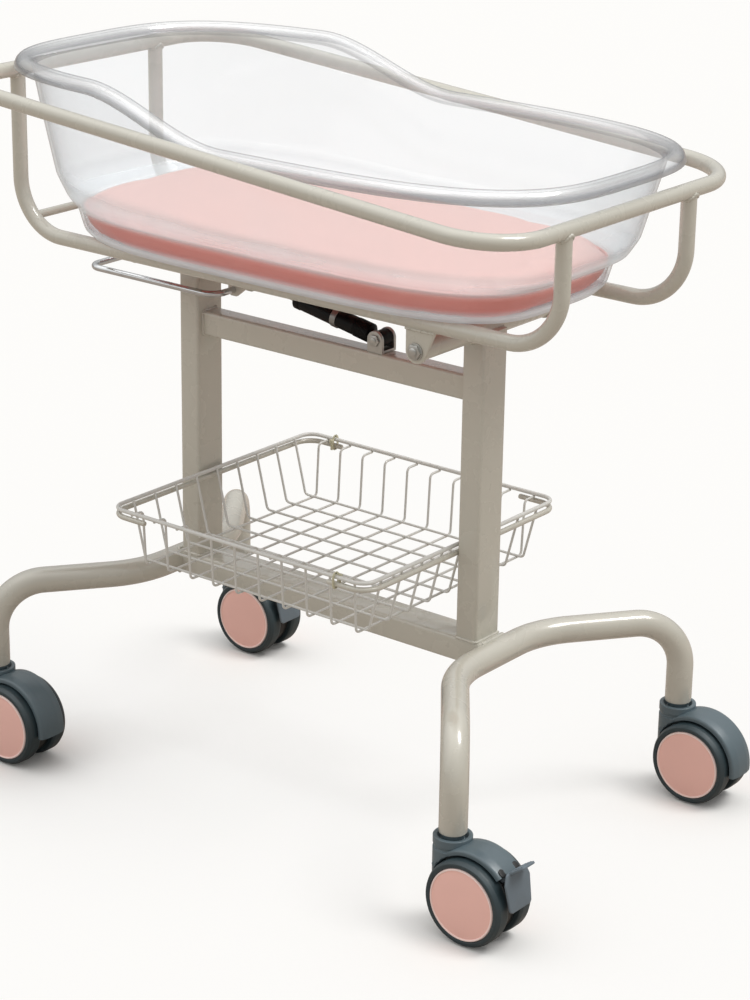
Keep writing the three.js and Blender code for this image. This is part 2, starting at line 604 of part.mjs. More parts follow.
// A channel that hangs from the lift tube and holds the rod's pin and the lever's ends.
function springBracket() {
  const outside = BRACKET_GAP / 2 + PLATE_THICKNESS;
  const head = LIFT_TUBE_X - BRACKET_LENGTH / 2;
  const foot = LIFT_TUBE_X + BRACKET_LENGTH / 2;
  const low = LEVER_HEIGHT - LEVER_DIAMETER;
  const pinLow = BRACKET_PIN_HEIGHT - ROD_EYE_DIAMETER / 2;
  const web = CRADLE_UNDERSIDE - 2 * PLATE_THICKNESS;
  const shape = new THREE.Shape();
  shape.moveTo(head, CRADLE_TUBE_HEIGHT - RAIL_RADIUS / 2);
  shape.lineTo(head, low + LEVER_DIAMETER / 2);
  shape.lineTo(head + LEVER_DIAMETER / 2, low);
  shape.lineTo(LEVER_PIVOT_X + LEVER_DIAMETER / 2, low);
  shape.lineTo(BRACKET_PIN_X, pinLow);
  shape.lineTo(foot - LEVER_DIAMETER / 2, pinLow);
  shape.lineTo(foot, pinLow + LEVER_DIAMETER / 2);
  shape.lineTo(foot, CRADLE_TUBE_HEIGHT - RAIL_RADIUS / 2);
  const room = box(vec(head - OVERCUT, -BRACKET_GAP / 2, low - OVERCUT),
    vec(foot + OVERCUT, BRACKET_GAP / 2, web));
  const hole = (diameter, x, z) => crossRod(diameter + 2 * SEAT_GAP, x, z, -2 * outside, 2 * outside, 16);
  return cut(plate(shape, -outside, outside), room, copeAcross(LIFT_TUBE_X, CRADLE_TUBE_HEIGHT),
    hole(CLEVIS_PIN_DIAMETER, BRACKET_PIN_X, BRACKET_PIN_HEIGHT),
    hole(LEVER_DIAMETER, LEVER_PIVOT_X, LEVER_HEIGHT));
}

// One rod bent into a loop, whose inward ends turn in the bracket's plates.
function releaseLever() {
  const tip = BRACKET_GAP / 2 - SEAT_GAP;
  const corner = (x, y) => vec(x, y, LEVER_HEIGHT);
  const path = new RodPath([
    corner(LEVER_PIVOT_X, -tip), corner(LEVER_PIVOT_X, -LEVER_HALF_WIDTH),
    corner(LEVER_END_X, -LEVER_HALF_WIDTH), corner(LEVER_END_X, LEVER_HALF_WIDTH),
    corner(LEVER_PIVOT_X, LEVER_HALF_WIDTH), corner(LEVER_PIVOT_X, tip),
  ], LEVER_BEND, false, 22.5);
  return rod(path, LEVER_DIAMETER, 8);
}

function addTilt() {
  add('spring_clevis', springClevis(), STEEL);
  add('clevis_pin', headedPin(CLEVIS_PIN_DIAMETER, CLEVIS_X, CLEVIS_PIN_HEIGHT,
    CLEVIS_GAP / 2 + PLATE_THICKNESS), STEEL);
  const spring = springGroup();
  add('spring_cylinder', springCylinder(), BLACK, spring);
  add('spring_rod', springRod(), CHROME, spring);
  add('spring_bracket', springBracket(), PAINT);
  add('bracket_pin', headedPin(CLEVIS_PIN_DIAMETER, BRACKET_PIN_X, BRACKET_PIN_HEIGHT,
    BRACKET_GAP / 2 + PLATE_THICKNESS), STEEL);
  add('release_lever', releaseLever(), CHROME);
}

// Basket: five welded wire panels on two carrier rods

const WIRE_STEP = GRID_WIRE - WELD_DEPTH;
const BASKET_FLOOR = BASKET_RIM_HEIGHT - BASKET_DEPTH;
const RIM_TO_WIRE = (RIM_WIRE + GRID_WIRE) / 2 - WELD_DEPTH;
const FLOOR_HALF_LENGTH = BASKET_HALF_LENGTH - END_WALL_LEAN - RIM_TO_WIRE;
const FLOOR_HALF_WIDTH = BASKET_HALF_WIDTH - BASKET_FLANGE - SIDE_WALL_LEAN;

const spread = (count, half) => range(count).map((i) => half * ((2 * i) / (count - 1) - 1));
const lengthwisePlaces = spread(LENGTHWISE_WIRES, FLOOR_HALF_WIDTH - GRID_TURN_IN - GRID_WIRE);
const crosswisePlaces = spread(CROSSWISE_WIRES, FLOOR_HALF_LENGTH - GRID_TURN_IN - GRID_WIRE);
const wire = (...corners) => rod(new RodPath(corners, GRID_BEND, false, 45), GRID_WIRE, WIRE_SIDES);

// The foot, the corner and the top of a wall wire.
const endWall = (end, y) => [
  vec(end * (FLOOR_HALF_LENGTH - GRID_TURN_IN), y, BASKET_FLOOR),
  vec(end * FLOOR_HALF_LENGTH, y, BASKET_FLOOR),
  vec(end * (BASKET_HALF_LENGTH - RIM_TO_WIRE), y, BASKET_RIM_HEIGHT)];
const sideWall = (side, x) => [
  vec(x, side * (FLOOR_HALF_WIDTH - GRID_TURN_IN), BASKET_FLOOR - WIRE_STEP),
  vec(x, side * FLOOR_HALF_WIDTH, BASKET_FLOOR - WIRE_STEP),
  vec(x, side * (FLOOR_HALF_WIDTH + SIDE_WALL_LEAN), BASKET_RIM_HEIGHT - RIM_TO_WIRE)];

// Straight floor wires both ways, which stop just short of the walls' feet.
function basketFloor() {
  const endX = FLOOR_HALF_LENGTH - GRID_TURN_IN - SEAT_GAP;
  const endY = FLOOR_HALF_WIDTH - GRID_TURN_IN - SEAT_GAP;
  const low = BASKET_FLOOR - WIRE_STEP;
  const along = lengthwisePlaces.map((y) => wire(vec(-endX, y, BASKET_FLOOR), vec(endX, y, BASKET_FLOOR)));
  const across = crosswisePlaces.map((x) => wire(vec(x, -endY, low), vec(x, endY, low)));
  return fuse(...along, ...across);
}

// A side panel: wires that turn up from the floor, turn outwards and meet a straight rim wire.
function basketSide(side) {
  const end = BASKET_HALF_LENGTH - BASKET_CORNER - SEAT_GAP;
  const wires = crosswisePlaces.map((x) => {
    const [foot, corner, top] = sideWall(side, x);
    return wire(foot, corner, top, vec(x, side * BASKET_HALF_WIDTH, top.z));
  });
  return fuse(lengthRod(RIM_WIRE, side * BASKET_HALF_WIDTH, BASKET_RIM_HEIGHT, -end, end, 8), ...wires);
}

// An end panel: wires that turn up from the floor and lean out to a rim wire that turns both corners.
function basketEnd(end) {
  const rim = (x, y) => vec(end * x, y, BASKET_RIM_HEIGHT);
  const turn = BASKET_HALF_LENGTH - BASKET_CORNER;
  const path = new RodPath([
    rim(turn, -BASKET_HALF_WIDTH), rim(BASKET_HALF_LENGTH, -BASKET_HALF_WIDTH),
    rim(BASKET_HALF_LENGTH, BASKET_HALF_WIDTH), rim(turn, BASKET_HALF_WIDTH)],
  BASKET_CORNER - SEAT_GAP, false, 22.5);
  const wires = lengthwisePlaces.map((y) => wire(...endWall(end, y)));
  return fuse(rod(path, RIM_WIRE, 8), ...wires);
}

// A rod bent round the basket's end, under its rim, and welded to the upright's inner face.
function basketCarrier(end) {
  const z = BASKET_RIM_HEIGHT - RIM_TO_WIRE - (GRID_WIRE + CARRIER_DIAMETER) / 2 - SEAT_GAP;
  const x = UPRIGHT_X - UPRIGHT_LENGTH / 2 - CARRIER_DIAMETER / 2 - SEAT_GAP;
  const y = BASKET_HALF_WIDTH;
  const corner = (along, across) => vec(end * along, across, z);
  const path = new RodPath([corner(x - CARRIER_ARM, -y), corner(x, -y), corner(x, y),
    corner(x - CARRIER_ARM, y)], CARRIER_CORNER, false, 22.5);
  return rod(path, CARRIER_DIAMETER, 8);
}

function addBasket() {
  add('head_basket_carrier', basketCarrier(-1), PAINT);
  add('foot_basket_carrier', basketCarrier(1), PAINT);
  add('basket_floor', basketFloor(), WIRE);
  add('basket_left_side', basketSide(-1), WIRE);
  add('basket_right_side', basketSide(1), WIRE);
  add('basket_head_end', basketEnd(-1), WIRE);
  add('basket_foot_end', basketEnd(1), WIRE);
}

// Tub and mattress

const TUB_BOTTOM = CRADLE_TUBE_HEIGHT + RAIL_RADIUS + SEAT_GAP;
const LEDGE_HEIGHT = TUB_BOTTOM + WELL_DEPTH;

// A ring with the plan of a superellipse; heightAt gives z from x.
function ovalRing(halfLength, halfWidth, squareness, heightAt, sides = TUB_SIDES) {
  const power = (value) => Math.sign(value) * Math.abs(value) ** (2 / squareness);
  return range(sides).map((i) => {
    const angle = (2 * Math.PI * (i + 0.5)) / sides;
    const x = halfLength * power(Math.cos(angle));
    return vec(x, halfWidth * power(Math.sin(angle)), heightAt(x));
  });
}

// The rim is high round the head and falls in an S to a level foot.
function rimHeight(x) {
  const fall = THREE.MathUtils.smoothstep(x, RIM_DROP_START, RIM_DROP_END);
  return TUB_HEAD_RIM + (TUB_FOOT_RIM - TUB_HEAD_RIM) * fall;
}

// A ring of the well: inset from its mouth, at a fixed height.
const wellRing = (inset, z) => ovalRing(WELL_HALF_LENGTH - inset, WELL_HALF_WIDTH - inset,
  WELL_SQUARENESS, () => z);

// A ring of the upper wall: outset from the rim's crest, at a share of the height above the ledge,
// plus a rise.
function wallRing(outset, share, rise = 0) {
  return ovalRing(TUB_RIM_HALF_LENGTH + outset, TUB_RIM_HALF_WIDTH + outset, TUB_RIM_SQUARENESS,
    (x) => LEDGE_HEIGHT + LEDGE_RISE + (rimHeight(x) - LEDGE_HEIGHT - LEDGE_RISE) * share + rise);
}

function tub() {
  const lip = LIP_REACH;
  const outside = [
    wellRing(WELL_TAPER + FLOOR_ROUND, TUB_BOTTOM),
    wellRing(WELL_TAPER, TUB_BOTTOM + FLOOR_ROUND),
    wellRing(0, LEDGE_HEIGHT),
    wallRing(-WALL_TAPER, 0),
    wallRing(-WALL_TAPER * WALL_FOOT.taper, WALL_FOOT.share),
    wallRing(-WALL_TAPER * WALL_MIDDLE.taper, WALL_MIDDLE.share),
    wallRing(-WALL_TOP_INSET, 1, -LIP_DROP),
    wallRing(-TUB_WALL, 1, -TUB_WALL * 1.5),
    wallRing(lip - TUB_WALL, 1, -LIP_DROP / 2),
    wallRing(lip - TUB_WALL / 2, 1, -LIP_DROP),
  ];
  const inside = [
    wallRing(lip + TUB_WALL / 2, 1, -LIP_DROP),
    wallRing(lip - TUB_WALL / 3, 1, -LIP_DROP / 3),
    wallRing(lip / 3, 1),
    wallRing(-TUB_WALL * 1.5, 1, -TUB_WALL / 2),
    wallRing(-WALL_TOP_INSET - TUB_WALL, 1, -LIP_DROP),
    wallRing(-WALL_TAPER * WALL_MIDDLE.taper - TUB_WALL, WALL_MIDDLE.share),
    wallRing(-WALL_TAPER * WALL_FOOT.taper - TUB_WALL, WALL_FOOT.share, TUB_WALL / 2),
    wallRing(-WALL_TAPER - TUB_WALL, 0, TUB_WALL),
    wellRing(TUB_WALL, LEDGE_HEIGHT + TUB_WALL),
    wellRing(WELL_TAPER + TUB_WALL, TUB_BOTTOM + FLOOR_ROUND),
    wellRing(WELL_TAPER + FLOOR_ROUND, TUB_BOTTOM + TUB_WALL),
  ];
  return loft([...outside, ...inside]);
}

// A cushion with a crowned top and sides that draw in at mid height.
function mattress() {
  const bottom = TUB_BOTTOM + TUB_WALL + SEAT_GAP;
  const edge = TUB_WALL + MATTRESS_CLEARANCE;
  const ring = (inset, height) => ovalRing(WELL_HALF_LENGTH - edge - inset,
    WELL_HALF_WIDTH - edge - inset, WELL_SQUARENESS, () => bottom + height, MATTRESS_SIDES);
  const top = MATTRESS_THICKNESS;
  const round = WELL_TAPER + FLOOR_ROUND;
  const crown = range(MATTRESS_CROWN_RINGS).map((i) => {
    const share = i / (MATTRESS_CROWN_RINGS - 1);
    const inset = MATTRESS_EDGE + share * (MATTRESS_CROWN_REACH * WELL_HALF_WIDTH - MATTRESS_EDGE);
    return ring(inset, top + MATTRESS_CROWN * Math.sin((share * Math.PI) / 2));
  });
  return loft([
    ring(round + MATTRESS_DRAW_IN, 0),
    ring(round, top * MATTRESS_FLANK.foot),
    ring(WELL_TAPER + MATTRESS_DRAW_IN, top * MATTRESS_FLANK.bulge),
    ring(MATTRESS_DRAW_IN, top * MATTRESS_FLANK.waist),
    ring(0, top * MATTRESS_FLANK.shoulder),
    ring(MATTRESS_CLEARANCE, top * MATTRESS_FLANK.edge),
    ...crown,
  ]);
}

// Casters

const WHEEL_RADIUS = WHEEL_DIAMETER / 2;
const FLAT_SCALE = 1 / Math.cos(Math.PI / CASTER_SIDES);
const WHEEL_INNER = BODY_WIDTH / 2 + RUNNING_GAP; // from the caster's middle plane
const WHEEL_OUTER = WHEEL_INNER + WHEEL_WIDTH;
const polar = (radius, degrees) => new THREE.Vector2(
  CASTER_TRAIL + radius * Math.cos(radians(degrees)),
  WHEEL_RADIUS + radius * Math.sin(radians(degrees)));
const axleArc = (shape, radius, from, to) => shape.absarc(
  CASTER_TRAIL, WHEEL_RADIUS, radius, radians(from), radians(to), to < from);

// The hood and the core under it: an arc of a thick disc round the axle, and a smaller disc.
function hoodShape(rear) {
  const shape = new THREE.Shape();
  axleArc(shape, HOOD_RADIUS, HOOD_FRONT, rear);
  axleArc(shape, CORE_RADIUS, rear, HOOD_FRONT - 360);
  return shape;
}

function casterBody(braked) {
  const half = BODY_WIDTH / 2;
  const radius = NECK_DIAMETER / 2;
  const stem = STEM_DIAMETER / 2;
  const foot = WHEEL_RADIUS + NECK_FOOT;
  const waist = radius - NECK_WAIST;
  const groove = NECK_TOP - NECK_COLLAR;
  const neck = revolve([[0, foot], [radius, foot],
    [radius, groove - NECK_GROOVE], [waist, groove - NECK_GROOVE], [waist, groove - NECK_WAIST],
    [radius, groove], [radius, NECK_TOP - NECK_BEVEL],
    [radius - NECK_BEVEL, NECK_TOP], [stem, NECK_TOP - NECK_BEVEL], [stem, NECK_TOP + STEM_LENGTH],
    [0, NECK_TOP + STEM_LENGTH]], 16).rotateX(Math.PI / 2);
  const hood = plate(hoodShape(braked ? PEDAL_HINGE_ANGLE : HOOD_REAR), -HOOD_WIDTH / 2, HOOD_WIDTH / 2, 5);
  const wheelRoom = (from, to) => crossRod(WHEEL_DIAMETER + 4 * RUNNING_GAP, CASTER_TRAIL, WHEEL_RADIUS,
    from, to, CASTER_SIDES);
  const axleHole = crossRod(AXLE_DIAMETER + 2 * SEAT_GAP, CASTER_TRAIL, WHEEL_RADIUS,
    -half - OVERCUT, half + OVERCUT);
  const tools = [axleHole, wheelRoom(half, NECK_DIAMETER), wheelRoom(-NECK_DIAMETER, -half)];
  if (braked) {
    const seat = polar(PEDAL_HINGE_RADIUS, PEDAL_HINGE_ANGLE);
    tools.push(crossRod(2 * (PEDAL_HUB_RADIUS + SEAT_GAP), seat.x, seat.y,
      -half - OVERCUT, half + OVERCUT));
  }
  return cut(fuse(neck, hood), ...tools);
}

// One wheel of the pair; side is +1 for the one towards +Y.
function wheel(side) {
  const bore = AXLE_DIAMETER / 2 + SEAT_GAP;
  const recess = COVER_DIAMETER / 2 + SEAT_GAP;
  const floor = WHEEL_OUTER - COVER_THICKNESS - SEAT_GAP;
  const profile = [[bore, WHEEL_INNER], [WHEEL_RADIUS, WHEEL_INNER],
    [WHEEL_RADIUS, WHEEL_OUTER - WHEEL_EDGE], [WHEEL_RADIUS - WHEEL_EDGE, WHEEL_OUTER],
    [recess, WHEEL_OUTER], [recess, floor], [bore, floor], [bore, WHEEL_INNER]];
  return place(revolve(profile), side);
}

function wheelCover(side) {
  const radius = COVER_DIAMETER / 2;
  const back = WHEEL_OUTER - COVER_THICKNESS;
  return place(revolve([[0, back], [radius, back], [radius, WHEEL_OUTER - COVER_RIM],
    [radius - COVER_LIP, WHEEL_OUTER + COVER_RIM], [0, WHEEL_OUTER + COVER_DOME]]), side);
}

// Moves a revolve to the axle, turned over for the -Y side, with its flats at the true radius.
function place(geometry, side) {
  if (side < 0) geometry.rotateX(Math.PI);
  return geometry.scale(FLAT_SCALE, 1, FLAT_SCALE).translate(CASTER_TRAIL, 0, WHEEL_RADIUS);
}

// A flat plate behind the wheels with a raised toe tab, on an arm from a hub in the hood's end.
function brakePedal() {
  const hub = polar(PEDAL_HINGE_RADIUS, PEDAL_HINGE_ANGLE);
  const top = polar(HOOD_RADIUS + PEDAL_TOP_STANDOFF, PEDAL_TOP_ANGLE);
  const low = polar(WHEEL_RADIUS + PEDAL_LOW_STANDOFF, PEDAL_LOW_ANGLE);
  const down = low.clone().sub(top).normalize();
  const out = new THREE.Vector2(-down.y, down.x).multiplyScalar(PEDAL_THICKNESS);
  const tab = new THREE.Vector2(PEDAL_TAB, 0).rotateAround(new THREE.Vector2(), radians(PEDAL_TAB_RISE));
  const under = new THREE.Vector2(tab.y, -tab.x).setLength(PEDAL_THICKNESS);
  const from = (point, ...steps) => steps.reduce((sum, step) => sum.add(step), point.clone());
  const met = PEDAL_ARM.map((share) => from(top.clone().lerp(low, share), out.clone().divideScalar(2)));
  const half = PEDAL_HUB_RADIUS / 2;
  const slab = (points, width) => plate(new THREE.Shape(points), -width / 2, width / 2);
  return fuse(
    slab([top, low, from(low, out), from(top, out)], PEDAL_WIDTH),
    slab([top, from(top, tab), from(top, tab, under), from(top, under)], PEDAL_TAB_WIDTH),
    slab([from(hub, new THREE.Vector2(half, half / 2)), ...met,
      from(hub, new THREE.Vector2(half, -2 * half))], BODY_WIDTH),
    crossRod(2 * PEDAL_HUB_RADIUS, hub.x, hub.y, -BODY_WIDTH / 2, BODY_WIDTH / 2, 14));
}

function addCaster(name, x, y, braked) {
  const group = new THREE.Group();
  group.position.set(x, y, 0);
  assembly.add(group);
  add(`${name}_caster_body`, casterBody(braked), SLATE, group);
  const axleHalf = WHEEL_OUTER - COVER_THICKNESS - 2 * SEAT_GAP;
  add(`${name}_axle`, crossRod(AXLE_DIAMETER, CASTER_TRAIL, WHEEL_RADIUS, -axleHalf, axleHalf), STEEL, group);
  for (const [hand, side] of [['left', -1], ['right', 1]]) {
    add(`${name}_${hand}_wheel`, wheel(side), TYRE, group);
    add(`${name}_${hand}_cover`, wheelCover(side), PINK, group);
  }
  if (braked) add(`${name}_brake_pedal`, brakePedal(), SLATE, group);
}

function addCasters() {
  addCaster('head_left', -STEM_X, -STEM_Y, false);
  addCaster('head_right', -STEM_X, STEM_Y, true);
  addCaster('foot_left', STEM_X, -STEM_Y, true);
  addCaster('foot_right', STEM_X, STEM_Y, false);
}

addBase();
addCasters();
addBasket();
addCradle();
addTilt();
add('tub', tub(), CLEAR);
add('mattress', mattress(), SALMON);

const outline = new THREE.Box3().setFromObject(assembly, true);
assembly.position.x = -(outline.min.x + outline.max.x) / 2;

export default assembly;
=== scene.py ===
"""Hospital bassinet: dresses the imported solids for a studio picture.

Sizes are millimetres. Places count from the floor midway between the two uprights, with the head end
at -X and the left side at -Y. Maker.piece turns them into the frame's metres.
"""

import logging
import math
from dataclasses import dataclass, replace
from enum import Enum
from typing import Any, ClassVar, Iterable, Sequence

import bmesh
import bpy
import numpy as np
from mathutils import Matrix, Vector


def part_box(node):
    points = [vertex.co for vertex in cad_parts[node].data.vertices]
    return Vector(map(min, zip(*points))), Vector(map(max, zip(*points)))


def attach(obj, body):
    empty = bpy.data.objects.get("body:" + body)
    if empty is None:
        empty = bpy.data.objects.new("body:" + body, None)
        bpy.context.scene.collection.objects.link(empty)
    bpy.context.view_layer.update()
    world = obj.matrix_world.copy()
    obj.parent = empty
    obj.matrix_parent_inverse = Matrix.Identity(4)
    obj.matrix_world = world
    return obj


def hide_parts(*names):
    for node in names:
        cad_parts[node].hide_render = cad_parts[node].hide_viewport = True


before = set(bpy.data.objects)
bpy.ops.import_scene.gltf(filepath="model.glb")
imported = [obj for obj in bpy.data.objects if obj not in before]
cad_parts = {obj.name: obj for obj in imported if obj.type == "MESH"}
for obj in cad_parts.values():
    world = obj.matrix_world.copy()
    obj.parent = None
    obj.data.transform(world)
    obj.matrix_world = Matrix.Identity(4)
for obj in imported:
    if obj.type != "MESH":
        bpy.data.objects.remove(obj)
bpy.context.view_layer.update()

MM = 0.001
LOG = logging.getLogger("bassinet")

Array = np.ndarray
Object = bpy.types.Object
Colour = tuple[int, int, int]
Pair = tuple[float, float]
Triple = tuple[float, float, float]
Rows = tuple[Pair, ...]
X_AXIS = np.array([1.0, 0.0, 0.0])
Y_AXIS = np.array([0.0, 1.0, 0.0])
Z_AXIS = np.array([0.0, 0.0, 1.0])


class End(Enum):
    """The two ends of the bassinet, with their sign along X."""

    HEAD = -1
    FOOT = 1


class Side(Enum):
    """The two sides of the bassinet, with their sign along Y."""

    LEFT = -1
    RIGHT = 1


class Slot(Enum):
    """The record's material slots."""

    FRAME = "frame_paint"
    BASKET = "basket_coating"
    CASTER = "caster_plastic"
    TYRE = "tyre_rubber"
    COVER = "cover_plastic"
    STEEL = "zinc_steel"
    SPRING = "spring_black"
    CHROME = "chrome"
    PAD = "pad_rubber"
    TUB = "tub_clear"
    MATTRESS = "mattress_cover"


# Surfaces


@dataclass
class Skin:
    """A surface in millimetres: points, quads between them, and a tint from 0 to 1 at each point."""

    points: Array
    quads: Array
    tint: Array

    @classmethod
    def grid(cls, rows: Array, wrap_rows: bool = False, wrap_columns: bool = True,
             tint: Array | None = None) -> "Skin":
        """Joins neighbouring points of a grid by quads.

        Args:
            rows: points as an array of rows, columns and coordinates.
            wrap_rows: whether the last row joins the first.
            wrap_columns: whether the last column joins the first.
            tint: one value for each point, as rows and columns; 0 where left out.

        Returns:
            The surface.
        """
        count, around = rows.shape[:2]
        index = np.arange(count * around).reshape(count, around)
        below = index if wrap_rows else index[:-1]
        above = np.roll(index, -1, axis=0)[: len(below)]
        if wrap_columns:
            corners = [below, np.roll(below, -1, axis=1), np.roll(above, -1, axis=1), above]
        else:
            corners = [below[:, :-1], below[:, 1:], above[:, 1:], above[:, :-1]]
        quads = np.stack(corners, axis=-1).reshape(-1, 4)
        values = np.zeros(count * around) if tint is None else tint.reshape(-1)
        return cls(rows.reshape(-1, 3), quads, values)

    @classmethod
    def joined(cls, skins: Iterable["Skin"]) -> "Skin":
        """Puts several surfaces into one, with their quads renumbered.

        Args:
            skins: the surfaces.

        Returns:
            One surface.
        """
        skins = list(skins)
        starts = np.cumsum([0] + [len(skin.points) for skin in skins[:-1]])
        return cls(np.concatenate([skin.points for skin in skins]),
                   np.concatenate([skin.quads + start for skin, start in zip(skins, starts)]),
                   np.concatenate([skin.tint for skin in skins]))

    def copies(self, shifts: Array) -> "Skin":
        """One copy of the surface at each shift, all in one array.

        Args:
            shifts: a shift for each copy.

        Returns:
            One surface.
        """
        shifts = np.asarray(shifts, float)
        points = (shifts[:, None, :] + self.points[None]).reshape(-1, 3)
        steps = np.arange(len(shifts))[:, None, None] * len(self.points)
        return Skin(points, (self.quads[None] + steps).reshape(-1, 4), np.tile(self.tint, len(shifts)))


def unit(vectors: Array) -> Array:
    """Vectors scaled to length one along their last axis."""
    return vectors / np.maximum(np.linalg.norm(vectors, axis=-1, keepdims=True), 1e-12)


def bent_path(corners: Sequence[Sequence[float]], bends: float | Sequence[float], closed: bool = False,
              step: float = 6.0) -> Array:
    """Straight runs between corners, each rounded by an arc that touches both of its runs.

    Args:
        corners: the corner points.
        bends: one bend radius, or one for each inner corner.
        closed: whether the last corner joins the first.
        step: degrees between points on an arc.

    Returns:
        The points of the path.
    """
    points = np.asarray(corners, float)
    count = len(points)
    inner = range(count) if closed else range(1, count - 1)
    radii = np.broadcast_to(np.asarray(bends, float), (len(inner),))
    runs = [] if closed else [points[:1]]
    for radius, i in zip(radii, inner):
        before = unit(points[i] - points[i - 1])
        after = unit(points[(i + 1) % count] - points[i])
        angle = math.acos(float(np.clip(before @ after, -1, 1)))
        if angle < 1e-6 or radius <= 0:
            runs.append(points[i: i + 1])
            continue
        start = points[i] - before * radius * math.tan(angle / 2)
        inward = unit(after - before * (before @ after))
        turn = np.linspace(0, angle, max(2, round(math.degrees(angle) / step)) + 1)[:, None]
        runs.append(start + radius * (np.sin(turn) * before + (1 - np.cos(turn)) * inward))
    if not closed:
        runs.append(points[-1:])
    return np.concatenate(runs)


def columns(*values: Any) -> Array:
    """Coordinates side by side as points; a single number holds for every point."""
    return np.stack(np.broadcast_arrays(*values), axis=-1)


def circle(radius: float, sides: int) -> Array:
    """Points evenly round a circle, as across and up."""
    angle = np.linspace(0, 2 * math.pi, sides, endpoint=False)
    return radius * columns(np.cos(angle), np.sin(angle))


def rounded_rectangle(width: float, height: float, radius: float, step: float = 15.0) -> Array:
    """A rectangle with round corners, as across and up."""
    corners = np.array([(1, -1, 0), (1, 1, 0), (-1, 1, 0), (-1, -1, 0)]) * (width / 2, height / 2, 1)
    return bent_path(corners, radius, closed=True, step=step)[:, :2]


def sweep(path: Array, section: Array, reference: Array, closed: bool = False,
          swell: Array | None = None, round_end: float = 0.0) -> Skin:
    """Carries a section along a path: point = path + across * side + up * upright.

    The side and upright directions at each place are square to the path, and upright is as near to
    the reference direction as that allows.

    Args:
        path: the points of the path.
        section: the closed section, as across and up.
        reference: a direction that the path never runs along.
        closed: whether the path is a ring.
        swell: a scale of the section at each point of the path.
        round_end: the radius that rounds the edge of a flat end.

    Returns:
        The surface, with flat ends where the path is open.
    """
    if closed:
        tangent = unit(np.roll(path, -1, axis=0) - np.roll(path, 1, axis=0))
    else:
        tangent = unit(np.gradient(path, axis=0))
    upright = unit(reference - (tangent @ reference)[:, None] * tangent)
    side = np.cross(tangent, upright)
    scale = np.ones(len(path)) if swell is None else swell
    across, up = section[:, 0], section[:, 1]

    def ring(at: Array, shrink: Array) -> Array:
        """The section at some places of the path, scaled."""
        arm = across[None, :, None] * side[at][:, None] + up[None, :, None] * upright[at][:, None]
        return path[at][:, None] + arm * shrink[:, None, None]

    rows = ring(np.arange(len(path)), scale)
    if closed:
        return Skin.grid(rows, wrap_rows=True)
    reach = float(np.abs(section).max())
    inset = np.array([0.0, (reach - round_end) / reach, (reach - 0.3 * round_end) / reach])
    depth = np.array([0.0, 0.0, 0.3 * round_end])
    first = ring(np.zeros(3, int), scale[0] * inset) + (depth[:, None] * tangent[0])[:, None]
    last = ring(np.full(3, -1), scale[-1] * inset) - (depth[:, None] * tangent[-1])[:, None]
    if round_end > 0:
        rows[0] += round_end * tangent[0]
        rows[-1] -= round_end * tangent[-1]
    return Skin.grid(np.concatenate([first, rows, last[::-1]]))


def tube(path: Array, diameter: float, sides: int, reference: Array, **options: Any) -> Skin:
    """A round rod along a path."""
    return sweep(path, circle(diameter / 2, sides), reference, **options)


def spokes(axis: Array, sides: int) -> Array:
    """Directions evenly round an axis: cos a * u + sin a * v, where u and v are square to it.

    Args:
        axis: the axis direction.
        sides: how many steps make the full turn.

    Returns:
        One direction for each step.
    """
    other = X_AXIS if abs(axis @ X_AXIS) < 0.9 else Z_AXIS
    u = unit(np.cross(axis, other))
    angle = np.linspace(0, 2 * math.pi, sides, endpoint=False)[:, None]
    return np.cos(angle) * u + np.sin(angle) * np.cross(axis, u)


def revolve(profile: Array, centre: Sequence[float], axis: Array, sides: int = 64,
            tint: Array | None = None) -> Skin:
    """Turns a profile about an axis: point = centre + along * axis + radius * spoke.

    Args:
        profile: rows of radius and place along the axis.
        centre: the point of the axis from which places count.
        axis: the axis direction.
        sides: how many steps make the full turn.
        tint: one value for each row of the profile.

    Returns:
        The surface.
    """
    profile = np.asarray(profile, float)
    rows = profile[:, 0, None, None] * spokes(axis, sides) + profile[:, 1, None, None] * axis
    values = None if tint is None else np.repeat(np.asarray(tint, float)[:, None], sides, axis=1)
    return Skin.grid(rows + centre, tint=values)


def rounded_profile(corners: Sequence[Sequence[float]], radius: float, step: float = 15.0) -> Array:
    """A profile of radius and place whose inner corners are rounded."""
    flat = np.pad(np.asarray(corners, float), ((0, 0), (0, 1)))
    return bent_path(flat, radius, step=step)[:, :2]


def disc_profile(inner: float, outer: float, low: float, high: float, rounding: float = 0.0) -> Array:
    """The profile of a disc or ring between two radii, with rounded rims."""
    return rounded_profile([(inner, low), (outer, low), (outer, high), (inner, high)], rounding)


def inset_outline(outline: Array, inset: float) -> Array:
    """Moves a closed outline inwards by the mitre of its neighbouring edges.

    Args:
        outline: the closed outline, counter-clockwise.
        inset: how far it moves.

    Returns:
        The smaller outline.
    """
    edge = unit(np.roll(outline, -1, axis=0) - outline)
    inward = columns(-edge[:, 1], edge[:, 0])
    before = np.roll(inward, 1, axis=0)
    share = 1 + np.sum(inward * before, axis=-1, keepdims=True)
    return outline + inset * (inward + before) / np.maximum(share, 0.3)


